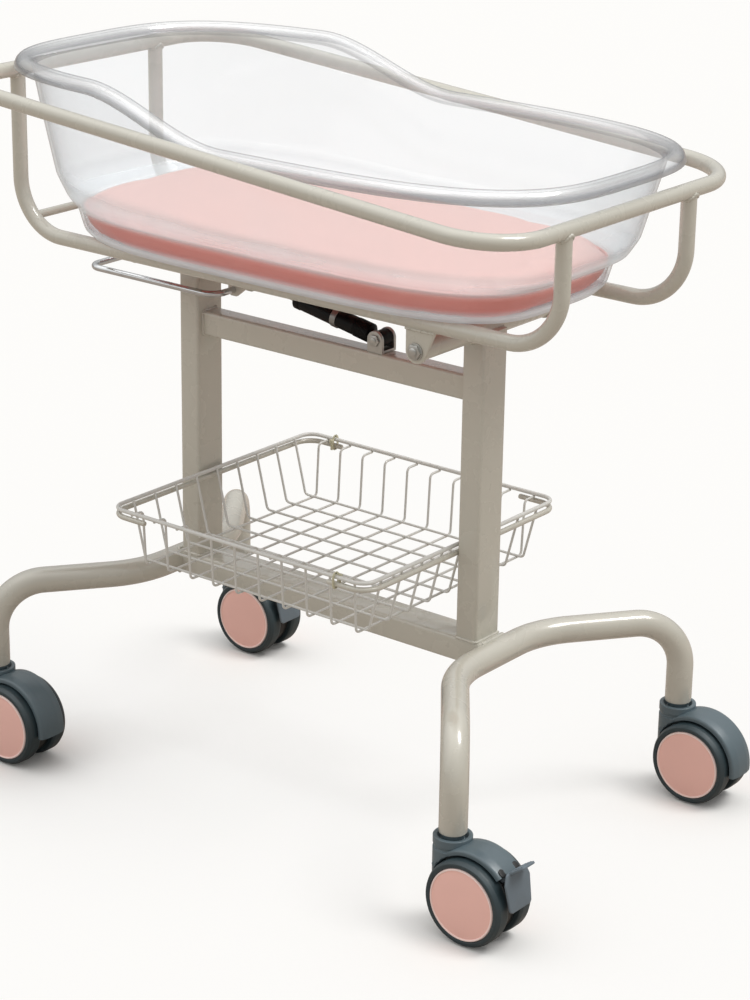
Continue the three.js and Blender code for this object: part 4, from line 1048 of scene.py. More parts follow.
@dataclass
class Cradle:
    """The sloping top rail, the two tubes under the tub, their cross tubes and the hinge ears."""

    tube_diameter: float = 18.0
    half_length: float = 394.0
    half_width: float = 231.0
    corner: float = 75.0
    head_height: float = 833.0
    foot_height: float = 769.0
    low_height: float = 638.0
    low_y: float = 119.0
    bend: float = 65.0
    cross_x: Pair = (-213.0, -132.0)
    stay: float = 10.0
    pivot_x: float = 208.0
    pivot_height: float = 604.0
    ear_thickness: float = 5.0
    ear_radius: float = 14.0
    ear_length: float = 40.0
    bolt_diameter: float = 10.0
    bolt_tip: float = 88.2
    bolt_head: float = 6.5
    washer: Pair = (10.0, 1.4)
    nut_across: float = 15.64
    nut_top: float = 4.6
    seat_gap: float = 0.3
    cross_sunk: float = 2.0
    bead: float = 2.0
    bead_proud: float = 0.5
    body: str = "cradle"

    def rail(self) -> Skin:
        """The closed top rail, bent in its own plane and then sloped down to the foot.

        Returns:
            The closed ring.
        """
        slope = math.atan((self.head_height - self.foot_height) / (2 * self.half_length))
        x, y = self.half_length / math.cos(slope), self.half_width
        flat = bent_path([(-x, -y, 0), (x, -y, 0), (x, y, 0), (-x, y, 0)], self.corner, closed=True, step=3.0)
        path = columns(flat[:, 0] * math.cos(slope), flat[:, 1],
                       (self.head_height + self.foot_height) / 2 - flat[:, 0] * math.sin(slope))
        normal = np.array([math.sin(slope), 0, math.cos(slope)])
        return tube(path, self.tube_diameter, 40, normal, closed=True)

    def bearer(self, side: Side) -> Skin:
        """A tube that drops from the rail's head bar, runs level under the tub and rises to its foot bar.

        Args:
            side: its side.

        Returns:
            The closed rod.
        """
        x, y, z = self.half_length, side.value * self.low_y, self.low_height
        path = bent_path([(-x, y, self.head_height), (-x, y, z), (x, y, z), (x, y, self.foot_height)],
                         self.bend, step=3.0)
        return tube(path, self.tube_diameter, 40, Y_AXIS)

    def rail_weld(self, end: End, side: Side) -> Skin:
        """The bead round a bearer's coped end: z = rail - sqrt(radius^2 - x^2).

        Args:
            end: its end.
            side: its side.

        Returns:
            The bead.
        """
        radius = self.tube_diameter / 2
        x, y = circle(radius, 72).T
        height = self.head_height if end is End.HEAD else self.foot_height
        z = height - np.sqrt((radius + self.bead_proud) ** 2 - x ** 2)
        path = columns(end.value * self.half_length + x, side.value * self.low_y + y, z)
        return weld(path, self.bead, Z_AXIS, 21 + 2 * end.value + side.value)

    def cross(self, x: float, z: float, diameter: float) -> Skin:
        """A tube across, between the two bearers."""
        end = self.low_y - self.cross_sunk
        return tube(np.array([[x, -end, z], [x, end, z]]), diameter, 32, Z_AXIS)

    def cross_weld(self, x: float, side: Side) -> Skin:
        """The bead where a cross tube meets a bearer: y = bearer - sqrt(radius^2 - z^2).

        Args:
            x: the cross tube's place.
            side: its side.

        Returns:
            The bead.
        """
        radius = self.tube_diameter / 2
        across, up = circle(radius, 72).T
        y = side.value * (self.low_y - np.sqrt((radius + self.bead_proud) ** 2 - up ** 2))
        path = columns(x + across, y, self.low_height + up)
        return weld(path, self.bead, Y_AXIS, 31 + side.value)

    def ear(self, side: Side) -> Skin:
        """A hinge ear: a plate that is round below its bolt and spreads to its weld under the bearer.

        Args:
            side: its side.

        Returns:
            The closed plate.
        """
        angle = np.linspace(math.pi, 1.75 * math.pi, 24)
        low = self.ear_radius * columns(np.cos(angle), np.sin(angle))
        rise = self.low_height - self.tube_diameter / 2 - self.pivot_height + 2
        top = np.array([[self.ear_length - self.ear_radius, rise], [-self.ear_radius, rise]])
        return plate(np.concatenate([low, top]), self.ear_thickness, 0.8,
                     (self.pivot_x, side.value * self.low_y, self.pivot_height), X_AXIS, Z_AXIS)

    def ear_weld(self, side: Side, face: int) -> Skin:
        """The straight bead along a face of an ear, under the bearer.

        Args:
            side: its side.
            face: -1 or 1, the ear's face.

        Returns:
            The bead.
        """
        start = self.pivot_x - self.ear_radius
        y = side.value * self.low_y + face * (self.ear_thickness / 2 + 0.6)
        z = self.low_height - self.tube_diameter / 2 - 0.2
        path = columns(np.linspace(start, start + self.ear_length, 40), y, z)
        return weld(path, self.bead, Y_AXIS, 41 + face, closed=False)

    def bolt(self, side: Side) -> list[Skin]:
        """A hinge bolt: a threaded stud through a washer and a hexagon nut.

        Args:
            side: its side.

        Returns:
            The stud, the washer and the nut.
        """
        seat = self.low_y + self.ear_thickness / 2 + self.seat_gap
        shank, top = self.bolt_diameter / 2, seat + self.bolt_head
        centre, axis = (self.pivot_x, 0, self.pivot_height), Y_AXIS * side.value
        face, nut = seat + self.washer[1], seat + self.nut_top
        washer = disc_profile(0, self.washer[0], seat, face, 0.4)
        return [stud(shank, self.bolt_tip, top, nut - 0.2, centre, axis), revolve(washer, centre, axis, 40),
                hexagon(self.nut_across, face, nut, centre, axis)]

    def build(self, maker: Maker) -> None:
        """Makes the cradle's pieces.

        Args:
            maker: makes the pieces.
        """
        maker.piece("rail", self.rail(), FRAME_PAINT, self.body, ["top_rail"])
        for name, x in zip(("rest", "lift"), self.cross_x):
            maker.piece(f"{name}_bar", self.cross(x, self.low_height, self.tube_diameter), FRAME_PAINT,
                        self.body, [f"{name}_cross_tube"])
        reach = self.bend * (1 - math.sqrt(0.5))
        maker.piece("stay_bar", self.cross(reach - self.half_length, self.low_height + reach, self.stay),
                    FRAME_PAINT, self.body, ["head_stay"])
        for side in Side:
            name = side.name.lower()
            maker.piece(f"{name}_bearer", self.bearer(side), FRAME_PAINT, self.body, [f"{name}_cradle_tube"])
            maker.piece(f"{name}_ear", self.ear(side), FRAME_PAINT, self.body, [f"{name}_hinge_ear"])
            maker.piece(f"{name}_bolt", self.bolt(side), ZINC, self.body, [f"{name}_hinge_bolt"])
        welds = [self.rail_weld(end, side) for end in End for side in Side]
        welds += [self.cross_weld(x, side) for x in self.cross_x for side in Side]
        welds += [self.ear_weld(side, face) for side in Side for face in (-1, 1)]
        maker.piece("cradle_welds", welds, FRAME_PAINT, self.body)


def hexagon(across: float, low: float, high: float, centre: Sequence[float], axis: Array) -> Skin:
    """A hexagon head: six flats whose top corners are turned off by a cone.

    Args:
        across: the width over two flats.
        low: the seat's place along the axis.
        high: the top's place along the axis.
        centre: the point that places count from.
        axis: the bolt's direction.

    Returns:
        The closed head.
    """
    sides = 72
    angle = np.linspace(0, 2 * math.pi, sides, endpoint=False)
    flat = across / 2 / np.cos((angle + math.pi / 6) % (math.pi / 3) - math.pi / 6)
    corner = (flat - across / 2) * 0.55
    radii = columns(0, flat, flat, across * 0.46, 0).T
    places = columns(low, low, high - 0.3 - corner, high, high).T
    return Skin.grid(radii[..., None] * spokes(axis, sides) + places[..., None] * axis + centre)


def stud(radius: float, low: float, high: float, thread: float, centre: Sequence[float], axis: Array) -> Skin:
    """A stud whose end carries a thread: rings of two radii by turns, under a turned-off tip.

    Args:
        radius: the stud's radius.
        low: the place of its inner end along the axis.
        high: the place of its tip.
        thread: where the thread starts.
        centre: the point that places count from.
        axis: the stud's direction.

    Returns:
        The closed stud.
    """
    turns = np.linspace(thread, high - 0.5, 2 * round((high - thread) / 0.6) + 1)
    radii = radius - 0.35 * (np.arange(len(turns)) % 2)
    ends = [[(0, low), (radius - 0.8, low), (radius, low + 0.8)], [(radius - 0.9, high), (0, high)]]
    return revolve(np.concatenate([ends[0], columns(radii, turns), ends[1]]), centre, axis, 32)


@dataclass
class TiltGear:
    """The gas spring between its clevis and its bracket, and the release lever."""

    clevis_x: float = 66.0
    clevis_height: float = 564.0
    clevis_foot: float = 549.3
    clevis_gap: float = 18.6
    clevis_radius: float = 11.0
    plate_thickness: float = 4.0
    pin: float = 8.0
    eye_width: float = 18.0
    spring: float = 22.0
    spring_length: float = 128.0
    spring_neck: float = 12.0
    neck_span: Triple = (5.0, 13.0, 15.0)
    rod_well: float = 64.0
    ribbed: Pair = (16.0, 36.0)
    rib: float = 0.7
    seal: Pair = (9.0, 1.0)
    band: Pair = (62.0, 70.0)
    rod: float = 10.0
    rod_start: float = 62.0
    rod_eye: float = 20.0
    rod_eye_width: float = 15.0
    nut_place: Pair = (16.0, 8.0)
    socket: Triple = (8.5, 6.5, 7.0)
    bracket_x: float = -127.0
    bracket_height: float = 600.0
    bracket_gap: float = 24.0
    bracket_box: Triple = (-155.0, -109.0, 630.0)
    web_height: float = 621.0
    web_thickness: float = 8.0
    lever: float = 8.0
    lever_pivot_x: float = -146.0
    lever_height: float = 586.0
    lever_end_x: float = -350.0
    lever_half_width: float = 52.0
    lever_bend: float = 18.0
    eye_play: float = 2.2

    def __post_init__(self) -> None:
        """Works out the spring's direction and length from its two pins, and the cheeks' place."""
        start = np.array([self.clevis_x, 0, self.clevis_height])
        end = np.array([self.bracket_x, 0, self.bracket_height])
        self.start, self.span = start, float(np.linalg.norm(end - start))
        self.along = unit(end - start)
        self.cheek = self.clevis_gap / 2 + self.plate_thickness / 2

    def eye(self, centre: Array, diameter: float, bore: float, width: float) -> Skin:
        """A ring across, with rounded rims and a bored middle.

        Args:
            centre: its middle.
            diameter: over its rim.
            bore: the bore's diameter.
            width: from face to face.

        Returns:
            The closed ring.
        """
        profile = disc_profile(bore / 2, diameter / 2, -width / 2, width / 2, 0.9)
        return revolve(np.concatenate([profile, profile[:1]]), centre, Y_AXIS, 40)

    def clevis(self) -> list[Skin]:
        """Two round-topped cheeks on a foot plate.

        Returns:
            The cheeks and the foot.
        """
        angle = np.linspace(0, math.pi, 24)
        top = self.clevis_radius * columns(np.cos(angle), np.sin(angle))
        drop = self.clevis_foot - self.clevis_height
        outline = np.concatenate([[[-self.clevis_radius, drop], [self.clevis_radius, drop]], top])
        cheeks = [plate(outline, self.plate_thickness, 0.6,
                        (self.clevis_x, side.value * self.cheek, self.clevis_height), X_AXIS, Z_AXIS)
                  for side in Side]
        foot = rounded_rectangle(2 * self.clevis_radius, self.clevis_gap + 1, 0.5)
        height = self.clevis_height - self.clevis_radius - 0.4 - self.clevis_foot
        base = plate(foot, height, 0.4, (self.clevis_x, 0, self.clevis_foot + height / 2), X_AXIS, Y_AXIS)
        return cheeks + [base]

    def headed_pin(self, x: float, z: float, half: float) -> list[Skin]:
        """A pin across with a hexagon nut and a threaded end on each side.

        Args:
            x: its place along the bassinet.
            z: its height.
            half: from the middle to the cheeks' outer faces.

        Returns:
            The studs and the nuts.
        """
        seat, tip = half + 0.3, half + 0.3 + self.pin / 2
        skins = []
        for side in Side:
            axis = Y_AXIS * side.value
            skins.append(stud(self.pin / 2, -1.0, tip, seat + 2.4, (x, 0, z), axis))
            skins.append(hexagon(1.6 * self.pin, seat, seat + 2.6, (x, 0, z), axis))
        return skins

    def cylinder(self) -> list[Skin]:
        """The spring's cylinder, turned about its own line, and the eye at its foot.

        Returns:
            The body, its ribbed collar, its seal and its eye.
        """
        radius, neck, end = self.spring / 2, self.spring_neck / 2, self.spring_length
        bore = self.rod / 2 + 0.3
        foot, waist, shoulder = self.neck_span
        body = rounded_profile([(0, foot), (neck, foot), (neck, waist), (radius, shoulder), (radius, end),
                                (bore, end), (bore, self.rod_well), (0, self.rod_well)], 1.2)
        inner, (low, high) = radius - 2, self.ribbed
        ridge = radius - 0.1 + self.rib * (np.arange(41) % 4 < 2)
        rib = columns(ridge, np.linspace(low, high, 41))
        rib = np.concatenate([[(inner, low)], rib, [(inner, high)]])
        seal = disc_profile(inner, radius + 0.6, end - self.seal[0], end - self.seal[1], 0.7)
        turned = [revolve(profile, self.start, self.along, 48) for profile in (body, rib, seal)]
        return turned + [self.eye(self.start, 2 * self.clevis_radius - 2, self.pin + 0.6, self.eye_width)]

    def band_ring(self) -> Skin:
        """The plated band round the cylinder."""
        profile = disc_profile(self.spring / 2 - 0.5, self.spring / 2 + 1, *self.band, 0.4)
        return revolve(profile, self.start, self.along, 48)

    def piston(self) -> list[Skin]:
        """The rod, its lock nut and the eye round the bracket's pin.

        Returns:
            The rod, the nut, the eye's socket and the eye.
        """
        neck = self.span - self.rod_eye / 2 + 1.5
        shaft = disc_profile(0, self.rod / 2, self.rod_start, neck)
        end = self.start + self.along * self.span
        low, high = (neck - place for place in self.nut_place)
        nut = hexagon(self.rod_eye_width * 0.86, low, high, self.start, self.along)
        depth, back, front = self.socket
        socket = rounded_profile([(0, neck - depth), (back, neck - depth), (front, neck), (0, neck)], 0.8)
        return [revolve(shaft, self.start, self.along, 36), nut, revolve(socket, self.start, self.along, 36),
                self.eye(end, self.rod_eye, self.pin + 2 * self.eye_play, self.rod_eye_width)]

    def bracket(self) -> list[Skin]:
        """A channel under the lift tube: two cheeks that reach lower round the lever, and a web.

        Returns:
            The cheeks and the web.
        """
        head, foot, top = self.bracket_box
        cut, low = self.lever / 2, self.lever_height - self.lever
        pin_low = self.bracket_height - self.rod_eye / 2
        outline = np.array([[head + cut, low], [self.lever_pivot_x + cut, low], [self.bracket_x, pin_low],
                            [foot - cut, pin_low], [foot, pin_low + cut], [foot, top], [head, top],
                            [head, low + cut]])
        outline = bent_path(np.pad(outline, ((0, 0), (0, 1))), 2.0, closed=True)[:, :2]
        across = self.bracket_gap / 2 + self.plate_thickness / 2
        cheeks = [plate(outline, self.plate_thickness, 0.6, (0, side.value * across, 0), X_AXIS, Z_AXIS)
                  for side in Side]
        web = rounded_rectangle(foot - head - 1, self.bracket_gap + 1, 0.5)
        centre = ((head + foot) / 2, 0, self.web_height + self.web_thickness / 2)
        return cheeks + [plate(web, self.web_thickness, 0.5, centre, X_AXIS, Y_AXIS)]

    def loop(self) -> Skin:
        """The lever: one rod bent into a loop whose ends turn inwards.

        Returns:
            The closed rod.
        """
        tip, z = self.bracket_gap / 2 - 0.3, self.lever_height
        start, end, half = self.lever_pivot_x, self.lever_end_x, self.lever_half_width
        path = bent_path([(start, -tip, z), (start, -half, z), (end, -half, z), (end, half, z),
                          (start, half, z), (start, tip, z)], self.lever_bend, step=5.0)
        return tube(path, self.lever, 28, Z_AXIS, round_end=0.8)

    def build(self, maker: Maker) -> None:
        """Makes the tilt gear's pieces.

        Args:
            maker: makes the pieces.
        """
        half = self.clevis_gap / 2 + self.plate_thickness
        maker.piece("clevis", self.clevis(), ZINC, "frame", ["spring_clevis"])
        maker.piece("clevis_bolt", self.headed_pin(self.clevis_x, self.clevis_height, half), ZINC, "frame",
                    ["clevis_pin"])
        maker.piece("cylinder", self.cylinder(), SPRING_BLACK, "gas_spring_cylinder", ["spring_cylinder"])
        maker.piece("cylinder_band", self.band_ring(), SPRING_BAND, "gas_spring_cylinder")
        maker.piece("piston", self.piston(), BRIGHT_CHROME, "gas_spring_rod", ["spring_rod"])
        maker.piece("bracket", self.bracket(), FRAME_PAINT, "cradle", ["spring_bracket"])
        half = self.bracket_gap / 2 + self.plate_thickness
        maker.piece("bracket_bolt", self.headed_pin(self.bracket_x, self.bracket_height, half), ZINC,
                    "cradle", ["bracket_pin"])
        maker.piece("lever", self.loop(), BRIGHT_CHROME, "tilt_lever", ["release_lever"])


@dataclass
class Basket:
    """The welded wire basket on its two carrier rods."""

    half_length: float = 192.0
    half_width: float = 183.0
    rim_height: float = 346.0
    depth: float = 70.0
    corner: float = 18.0
    flange: float = 20.0
    end_lean: float = 18.0
    side_lean: float = 4.0
    rim_wire: float = 5.0
    wire: float = 3.0
    sink: float = 0.7
    turn_up: float = 7.0
    wire_bend: float = 6.0
    lengthwise: int = 9
    crosswise: int = 10
    carrier: float = 6.5
    carrier_arm: float = 56.0
    carrier_corner: float = 24.0
    carrier_bead: Pair = (1.6, 18.0)
    tie_x: float = 150.0
    tie_room: Triple = (2.6, 9.4, 5.2)
    strap: Pair = (3.6, 1.1)
    lock: Triple = (5.4, 5.0, 4.0)
    tail: float = 9.0
    upright_face: float = 198.0
    body: str = "frame"

    def __post_init__(self) -> None:
        """Works out the floor and the wires' places from the sizes."""
        self.floor = self.rim_height - self.depth
        self.rim_to_wire = (self.rim_wire + self.wire) / 2 - self.sink
        self.floor_length = self.half_length - self.end_lean - self.rim_to_wire
        self.floor_width = self.half_width - self.flange - self.side_lean
        reach = self.turn_up + self.wire
        self.wire_y = np.linspace(-1, 1, self.lengthwise) * (self.floor_width - reach)
        self.wire_x = np.linspace(-1, 1, self.crosswise) * (self.floor_length - reach)

    def strand(self, corners: Sequence[Sequence[float]], reference: Array) -> Skin:
        """One grid wire."""
        return tube(bent_path(corners, self.wire_bend, step=15.0), self.wire, 10, reference, round_end=0.6)

    def lengthwise_wires(self) -> Skin:
        """Wires up one end wall, along the floor and up the other, copied across.

        Returns:
            All of them in one surface.
        """
        low, top, x = self.floor, self.rim_height, self.half_length - self.rim_to_wire
        strand = self.strand([(-x, 0, top), (-self.floor_length, 0, low), (self.floor_length, 0, low),
                              (x, 0, top)], Y_AXIS)
        return strand.copies(columns(0, self.wire_y, 0))

    def crosswise_wires(self) -> Skin:
        """Wires from rim to rim: down a side wall, across under the floor and up the other, copied along.

        Returns:
            All of them in one surface.
        """
        low, top = self.floor - self.wire + self.sink, self.rim_height - self.rim_to_wire
        wall, foot, rim = self.floor_width + self.side_lean, self.floor_width, self.half_width
        strand = self.strand([(0, -rim, top), (0, -wall, top), (0, -foot, low), (0, foot, low),
                              (0, wall, top), (0, rim, top)], X_AXIS)
        return strand.copies(columns(self.wire_x, 0, 0))

    def rim(self) -> Skin:
        """The closed rim wire.

        Returns:
            The closed ring.
        """
        x, y, z = self.half_length, self.half_width, self.rim_height
        path = bent_path([(-x, -y, z), (x, -y, z), (x, y, z), (-x, y, z)], self.corner, closed=True)
        return tube(path, self.rim_wire, 14, Z_AXIS, closed=True)

    def carrier_height(self) -> float:
        """The carriers' height: under the wires that rest on them."""
        return self.rim_height - self.rim_to_wire - (self.wire + self.carrier) / 2 - 0.3

    def carrier_rod(self, end: End) -> Skin:
        """A rod round an end of the basket, against the upright's inner face.

        Args:
            end: its end.

        Returns:
            The closed rod.
        """
        z, y = self.carrier_height(), self.half_width
        x = self.upright_face - self.carrier / 2 - 0.3
        corners = [(x - self.carrier_arm, -y), (x, -y), (x, y), (x - self.carrier_arm, y)]
        path = bent_path([(end.value * along, across, z) for along, across in corners], self.carrier_corner)
        return tube(path, self.carrier, 24, Z_AXIS, round_end=1.5)

    def carrier_weld(self, end: End, edge: int) -> Skin:
        """The short bead above or below a carrier, against its upright.

        Args:
            end: its end.
            edge: 1 above the rod, -1 below.

        Returns:
            The bead.
        """
        radius, half = self.carrier_bead
        x = end.value * (self.upright_face - radius / 2)
        z = self.carrier_height() + edge * self.carrier * 0.42
        path = columns(x, np.linspace(-half, half, 30), z)
        return weld(path, radius, Z_AXIS, 51 + end.value + 3 * edge, closed=False)

    def tie(self, x: float, side: Side) -> list[Skin]:
        """A flat strap round the rim wire and the carrier's arm, with its lock and cut tail.

        Args:
            x: its place along the basket.
            side: its side.

        Returns:
            The strap, the lock and the tail.
        """
        z = (self.rim_height + self.carrier_height()) / 2
        wide, high, corner = self.tie_room
        high += self.rim_height - self.carrier_height()
        outline = rounded_rectangle(self.carrier + wide, high, corner)
        y = side.value * self.half_width
        path = columns(x, y + outline[:, 0], z + outline[:, 1])
        strap = sweep(path, rounded_rectangle(*self.strap, 0.4), X_AXIS, closed=True)
        width, height, depth = self.lock
        lock = plate(rounded_rectangle(width, height, 1.0), depth, 0.6,
                     (x, y - side.value * 7.2, z + 3.0), X_AXIS, Z_AXIS)
        tail = plate(rounded_rectangle(self.strap[0] - 0.2, self.tail, 0.8), self.strap[1], 0.3,
                     (x, y - side.value * 7.4, z - 4.0), X_AXIS, Z_AXIS)
        return [strap, lock, tail]

    def build(self, maker: Maker) -> None:
        """Makes the basket's pieces.

        Args:
            maker: makes the pieces.
        """
        panels = [f"basket_{name}" for name in ("floor", "left_side", "right_side", "head_end", "foot_end")]
        maker.piece("basket", [self.lengthwise_wires(), self.crosswise_wires(), self.rim()], WIRE_PAINT,
                    self.body, panels)
        for end in End:
            name = end.name.lower()
            maker.piece(f"{name}_carrier", self.carrier_rod(end), FRAME_PAINT, self.body,
                        [f"{name}_basket_carrier"])
        maker.piece("carrier_welds", [self.carrier_weld(end, edge) for end in End for edge in (-1, 1)],
                    FRAME_PAINT, self.body)
        ties = self.tie(-self.tie_x, Side.RIGHT) + self.tie(self.tie_x, Side.LEFT)
        maker.piece("basket_ties", ties, TIE_PLASTIC, self.body)


def oval(half_length: Array, half_width: Array, squareness: Array, sides: int) -> tuple[Array, Array]:
    """Rings with the plan of a superellipse: r = (|cos/a|^n + |sin/b|^n)^(-1/n).

    Args:
        half_length: a of each ring.
        half_width: b of each ring.
        squareness: n of each ring.
        sides: how many points go round.

    Returns:
        The x and y of the points, as rings and points.
    """
    angle = (np.arange(sides) + 0.5) * 2 * math.pi / sides
    a, b, n = (np.asarray(value, float)[:, None] for value in (half_length, half_width, squareness))
    a, b = np.maximum(a, 1e-6), np.maximum(b, 1e-6)
    radius = (np.abs(np.cos(angle) / a) ** n + np.abs(np.sin(angle) / b) ** n) ** (-1 / n)
    return radius * np.cos(angle), radius * np.sin(angle)


@dataclass
class Tub:
    """The clear tub: a well for the mattress, a ledge, leaning walls and a rolled lip on an S-shaped rim."""

    wall: float = 3.0
    rim_half: Pair = (389.0, 209.0)
    rim_squareness: float = 3.5
    well_half: Pair = (328.0, 166.0)
    well_squareness: float = 3.8
    head_rim: float = 860.0
    foot_rim: float = 811.0
    drop: Pair = (-195.0, 5.0)
    bottom: float = 647.3
    well_depth: float = 36.0
    well_taper: float = 7.0
    floor_round: float = 8.0
    ledge_rise: float = 9.0
    taper: float = 40.0
    foot_share: Pair = (0.16, 0.72)
    middle_share: Pair = (0.55, 0.42)
    lip_base: float = 15.0
    lip_middle: float = 0.75
    lip_half: float = 7.75
    lip_rise: float = 12.0
    soften: float = 2.6
    sides: int = 208
    body: str = "tub_body"

    def section(self) -> Array:
        """The underside's section from the floor's edge to the lip's lower edge.

        Returns:
            Rows of outset, height at the head, share of the rim's oval and share of the rim's fall.
        """
        ledge = self.bottom + self.well_depth
        base = ledge + self.ledge_rise
        rise = self.head_rim - base
        foot, middle = self.foot_share, self.middle_share
        low = [(-self.well_taper - self.floor_round, self.bottom, 0, 0),
               (-self.well_taper, self.bottom + self.floor_round, 0, 0), (0, ledge, 0, 0),
               (-self.taper, base, 1, 0),
               (-self.taper * foot[1], base + rise * foot[0], 1, foot[0]),
               (-self.taper * middle[1], base + rise * middle[0], 1, middle[0])]
        angle = np.linspace(math.pi, 0, 15)
        lip = columns(self.lip_middle + self.lip_half * np.cos(angle),
                      self.head_rim - self.lip_base + self.lip_rise * np.sin(angle), 1, 1)
        return np.concatenate([np.array(low, float), lip])

    def reach(self, rows: Array) -> Array:
        """How far each row of a section lies from the middle, along X."""
        return self.well_half[0] + rows[:, 2] * (self.rim_half[0] - self.well_half[0]) + rows[:, 0]

    def softened(self, rows: Array, step: float = 1.7) -> Array:
        """Resamples a section evenly and rounds its corners by a running mean with a bell weight.

        Args:
            rows: the section.
            step: between places on it.

        Returns:
            The section, as finer rows.
        """
        line = columns(self.reach(rows), rows[:, 1])
        length = np.concatenate([[0], np.cumsum(np.linalg.norm(np.diff(line, axis=0), axis=-1))])
        place = np.linspace(0, length[-1], int(length[-1] / step))
        even = columns(*(np.interp(place, length, column) for column in rows.T))
        width = int(3 * self.soften / step)
        bell = np.exp(-0.5 * (np.arange(-width, width + 1) * step / self.soften) ** 2)
        padded = np.pad(even, ((width, width), (0, 0)), mode="reflect", reflect_type="odd")
        return columns(*(np.convolve(column, bell / bell.sum(), "valid") for column in padded.T))

    def thickened(self, rows: Array, offset: float) -> Array:
        """Moves a section square to itself, towards the tub's inside.

        Args:
            rows: the section.
            offset: how far it moves.

        Returns:
            The moved section.
        """
        line = columns(self.reach(rows), rows[:, 1])
        tangent = unit(np.gradient(line, axis=0))
        moved = rows.copy()
        moved[:, 0] -= offset * tangent[:, 1]
        moved[:, 1] += offset * tangent[:, 0]
        return moved

    def fall(self, x: Array) -> Array:
        """How far the rim lies below its head: a smooth step from 0 to the full drop."""
        share = np.clip((x - self.drop[0]) / (self.drop[1] - self.drop[0]), 0, 1)
        return (self.head_rim - self.foot_rim) * share ** 2 * (3 - 2 * share)

    def shell(self) -> Skin:
        """The closed shell: underside, lip edge, inside and both floors, as rings of ovals.

        Returns:
            The shell, tinted by zone.
        """
        under = self.softened(self.section())
        upper = self.thickened(under, self.wall)
        angle = np.linspace(0, math.pi, 7)[1:-1, None]
        edge = (under[-1] + upper[-1]) / 2 + (under[-1] - upper[-1]) / 2 * np.cos(angle)
        edge[:, 1] -= self.wall / 2 * np.sin(angle[:, 0])
        rows = np.concatenate([under, edge, upper[::-1]])
        inwards = np.linspace(0, 1, 7)[:-1]
        scale = np.concatenate([inwards, np.ones(len(rows)), inwards[::-1]])
        rows = np.concatenate([np.repeat(under[:1], 6, axis=0), rows, np.repeat(upper[:1], 6, axis=0)])
        outset, height, share, falls = rows.T
        half = [scale * (well + share * (rim - well) + outset)
                for well, rim in zip(self.well_half, self.rim_half)]
        squareness = self.well_squareness + share * (self.rim_squareness - self.well_squareness)
        x, y = oval(half[0], half[1], squareness, self.sides)
        z = height[:, None] - falls[:, None] * self.fall(x)
        lip = (height > self.head_rim - self.lip_base - 1.5) & (falls > 0.98)
        across = np.clip((outset + self.lip_half + self.wall) / (2 * self.lip_half + 2 * self.wall), 0, 1)
        fold, wall, rolled = ClearPlastic.FOLD_TINT, ClearPlastic.WALL_TINT, ClearPlastic.LIP_TINT
        floor, ledge = self.bottom, self.bottom + self.well_depth
        # The floor's rounds and the ledge take FOLD_TINT, which the finish paints as highlight and shade
        # lines.
        low = np.interp(height, [floor, floor + 9, floor + 16, ledge - 5, ledge, ledge + 16, ledge + 34],
                        [fold, fold, 0, 0, fold, fold, wall])
        zone = np.where(lip, rolled + (1 - rolled) * across, np.where(scale < 1, 0, low))
        tint = np.repeat(zone[:, None], self.sides, axis=1)
        return Skin.grid(columns(x, y, z), tint=tint)

    def build(self, maker: Maker) -> None:
        """Makes the tub."""
        maker.piece("clear_tub", self.shell(), TUB_PLASTIC, self.body, ["tub"], crease=60.0)


